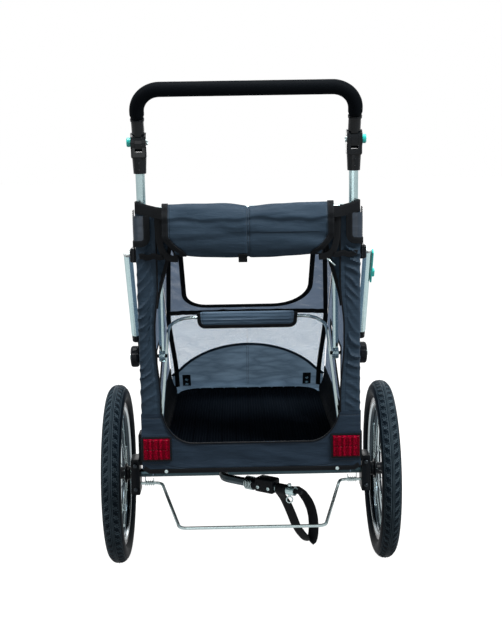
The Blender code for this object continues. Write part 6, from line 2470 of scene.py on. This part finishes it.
@dataclass
class UpperFrame:
    """Uprights, hoop, braces, their brackets and the release lever."""

    brace_x: float = 0.2435
    brace_run: tuple[float, float] = (-0.150, 0.240)
    bolt_x: float = 0.219
    bolt_height: float = 0.7305
    bolts: tuple[float, float] = (-0.222, -0.196)
    knob_face: float = 0.2590

    def build(self) -> None:
        """Dress the tubes and add caps, bolts and knob screws."""
        refinish(ALUMINIUM, "upright_frame", "mid_hoop", "brace_tube_left", "brace_tube_right")
        refinish(STEEL, "front_hoop")
        refinish(BLACK_PLASTIC, *[f"{name}_{side.word}" for side in Side for name in (
            "brace_bracket", "brace_foot", "side_knob", "side_post")])
        refinish(TEAL, "release_lever")
        for side in Side:
            sign, run = side.value, Vector((0, *self.brace_run))
            turn = run.to_track_quat("Z", "X").to_matrix().to_4x4()
            profile = [(0.0, -0.004), (0.0088, -0.004), (0.0094, 0.0002), (0.0094, 0.0016), (0.0080, 0.0032),
                       (0.0, 0.0038)]
            top = at(sign * self.brace_x, *STUD) + run
            cap = turned(f"brace_cap_{side.word}", profile, Matrix.Translation(top) @ turn, 32)
            dress(smooth(cap, 35), WHITE_CAP, "upper_frame")
            spots = [at(sign * self.bolt_x, fore, self.bolt_height) for fore in self.bolts]
            dress(screws(f"bracket_bolts_{side.word}", spots, UP, (0.0042, 0.0028)), STEEL, "upper_frame")
            knob = screw_head(f"knob_screw_{side.word}", at(sign * self.knob_face, *STUD),
                              Vector((sign, 0, 0)), 0.0070, 0.0024)
            dress(knob, STEEL, f"knob_{side.word}")


@dataclass
class Chassis:
    """Base tubes, axle brackets, floor, reflectors, brake bar and springs."""

    bar_pivot: tuple[float, float] = (-0.020, 0.181)
    bar_radius: float = 0.0036
    wire: float = 0.0011
    turns: float = 4.5
    pitch: float = 0.0044
    start_x: float = 0.218
    leg: float = 0.013
    panel_back: float = 0.2776
    reflector: tuple[float, float] = (0.190, 0.329)
    lens_size: tuple[float, float] = (0.053, 0.043)
    bracket_x: float = 0.258
    bolt_heights: tuple[float, float] = (0.172, 0.226)

    def build_springs(self) -> None:
        """Torsion springs wound round the brake bar's ends."""
        radius = self.bar_radius + 0.0003 + self.wire
        per_turn = 28
        for side in Side:
            points = []
            for step in range(round(self.turns * per_turn) + 1):
                angle = math.pi + math.tau * step / per_turn
                x = side.value * (self.start_x + self.pitch * step / per_turn)
                points.append(at(x, self.bar_pivot[0] + radius * math.cos(angle),
                                 self.bar_pivot[1] + radius * math.sin(angle)))
            legs = [UP * self.leg * share for share in (1.0, 0.66, 0.33, 0.1)]
            path = [points[0] + leg for leg in legs] + points + [points[-1] + leg for leg in reversed(legs)]
            spring = round_tube(f"brake_spring_coil_{side.word}", path, self.wire, fineness=3)
            dress(spring, STEEL, "chassis", [f"brake_spring_{side.word}"])

    def build_reflectors(self) -> None:
        """Ribbed red lenses in black bezels."""
        back, (width, height) = self.panel_back, self.lens_size
        for side in Side:
            x, z = side.value * self.reflector[0], self.reflector[1]
            bezel = block(f"reflector_bezel_{side.word}", (width + 0.008, 0.004, height + 0.008),
                          Matrix.Translation(at(x, -back - 0.002, z)), 0.0014, 2,
                          inset_panel(1, -1.0, 0.0035, 0.0008))
            dress(bezel, BLACK_PLASTIC, "chassis", [f"reflector_base_{side.word}"])

            def place(u: float, v: float, x: float = x, z: float = z) -> Vector:
                """Point of the lens."""
                across, up = (u - 0.5) * width, (v - 0.5) * height
                edge = min(1.0, 14 * u * (1 - u)) * min(1.0, 14 * v * (1 - v))
                rib = 0.0007 * math.cos(math.tau * across / 0.0066) * edge
                rib -= 0.0012 * bump(up, 0.0, 0.0011) * edge
                return at(x + across, -back - 0.0043 - 0.0058 * edge ** 0.35 - rib, z + up)

            lens = grid_sheet(f"reflector_lens_{side.word}", 120, 40, place, self.lens_size)
            dress(thickened(lens, 0.0010, -1.0), RED_LENS, "chassis", [f"reflector_{side.word}"])

    def build_brackets(self) -> None:
        """Axle brackets with sunken webs and their bolts."""

        def shape(obj: Piece) -> None:
            """Sink a web into the plate's front and back."""
            for way in (-1.0, 1.0):
                inset_panel(1, way, 0.0042, 0.0018)(obj)

        for side in Side:
            sign = side.value
            plate = block("bracket_plate", (0.020, 0.056, 0.082),
                          Matrix.Translation(at(sign * self.bracket_x, -0.010, 0.199)), 0.003, 3, shape)
            shelf = block("bracket_arm", (0.0352, 0.048, 0.071),
                          Matrix.Translation(at(sign * 0.2319, -0.010, 0.2615)), 0.003, 2)
            dress(merged(f"axle_bracket_moulding_{side.word}", [plate, shelf]), BLACK_PLASTIC, "chassis",
                  [f"axle_bracket_{side.word}"])
            spots = [at(sign * self.bracket_x, -0.0392, z) for z in self.bolt_heights]
            bolts = screws(f"axle_bolts_{side.word}", spots, BACKWARDS, (0.0042, 0.0034))
            dress(bolts, DARK_STEEL, "chassis")
            for name, (x, fore, z), size in (("sill_bolt", (0.2105, -0.0355, 0.262), (0.0042, 0.0030)),
                                             ("sill_rivet", (0.172, -0.2788, 0.2825), (0.0036, 0.0022))):
                head = screw_head(f"{name}_{side.word}", at(sign * x, fore, z), BACKWARDS, *size)
                dress(head, STEEL, "chassis")

    def build(self) -> None:
        """Make every piece of the chassis."""
        refinish(ALUMINIUM, "base_frame")
        refinish(AXLE_METAL, "axle_tube")
        refinish(STEEL, "brake_bar")
        refinish(BLACK_PANEL, "floor_panel")
        refinish(MAT, "floor_mat")
        self.build_springs()
        self.build_reflectors()
        self.build_brackets()


def main() -> None:
    """Build the trailer's sub-assemblies in order."""
    logging.basicConfig(level=logging.INFO, format="%(message)s")
    Viewpoint().build()
    TowArm().build()
    Studio().build()
    for side in Side:
        Wheel(side).build()
    Chassis().build()
    UpperFrame().build()
    PushHandle().build()
    RearCorner().build()
    Roof().build()
    SideWalls().build()
    FrontSlope().build()
    RearRoll().build()


if __name__ == "__main__":
    main()
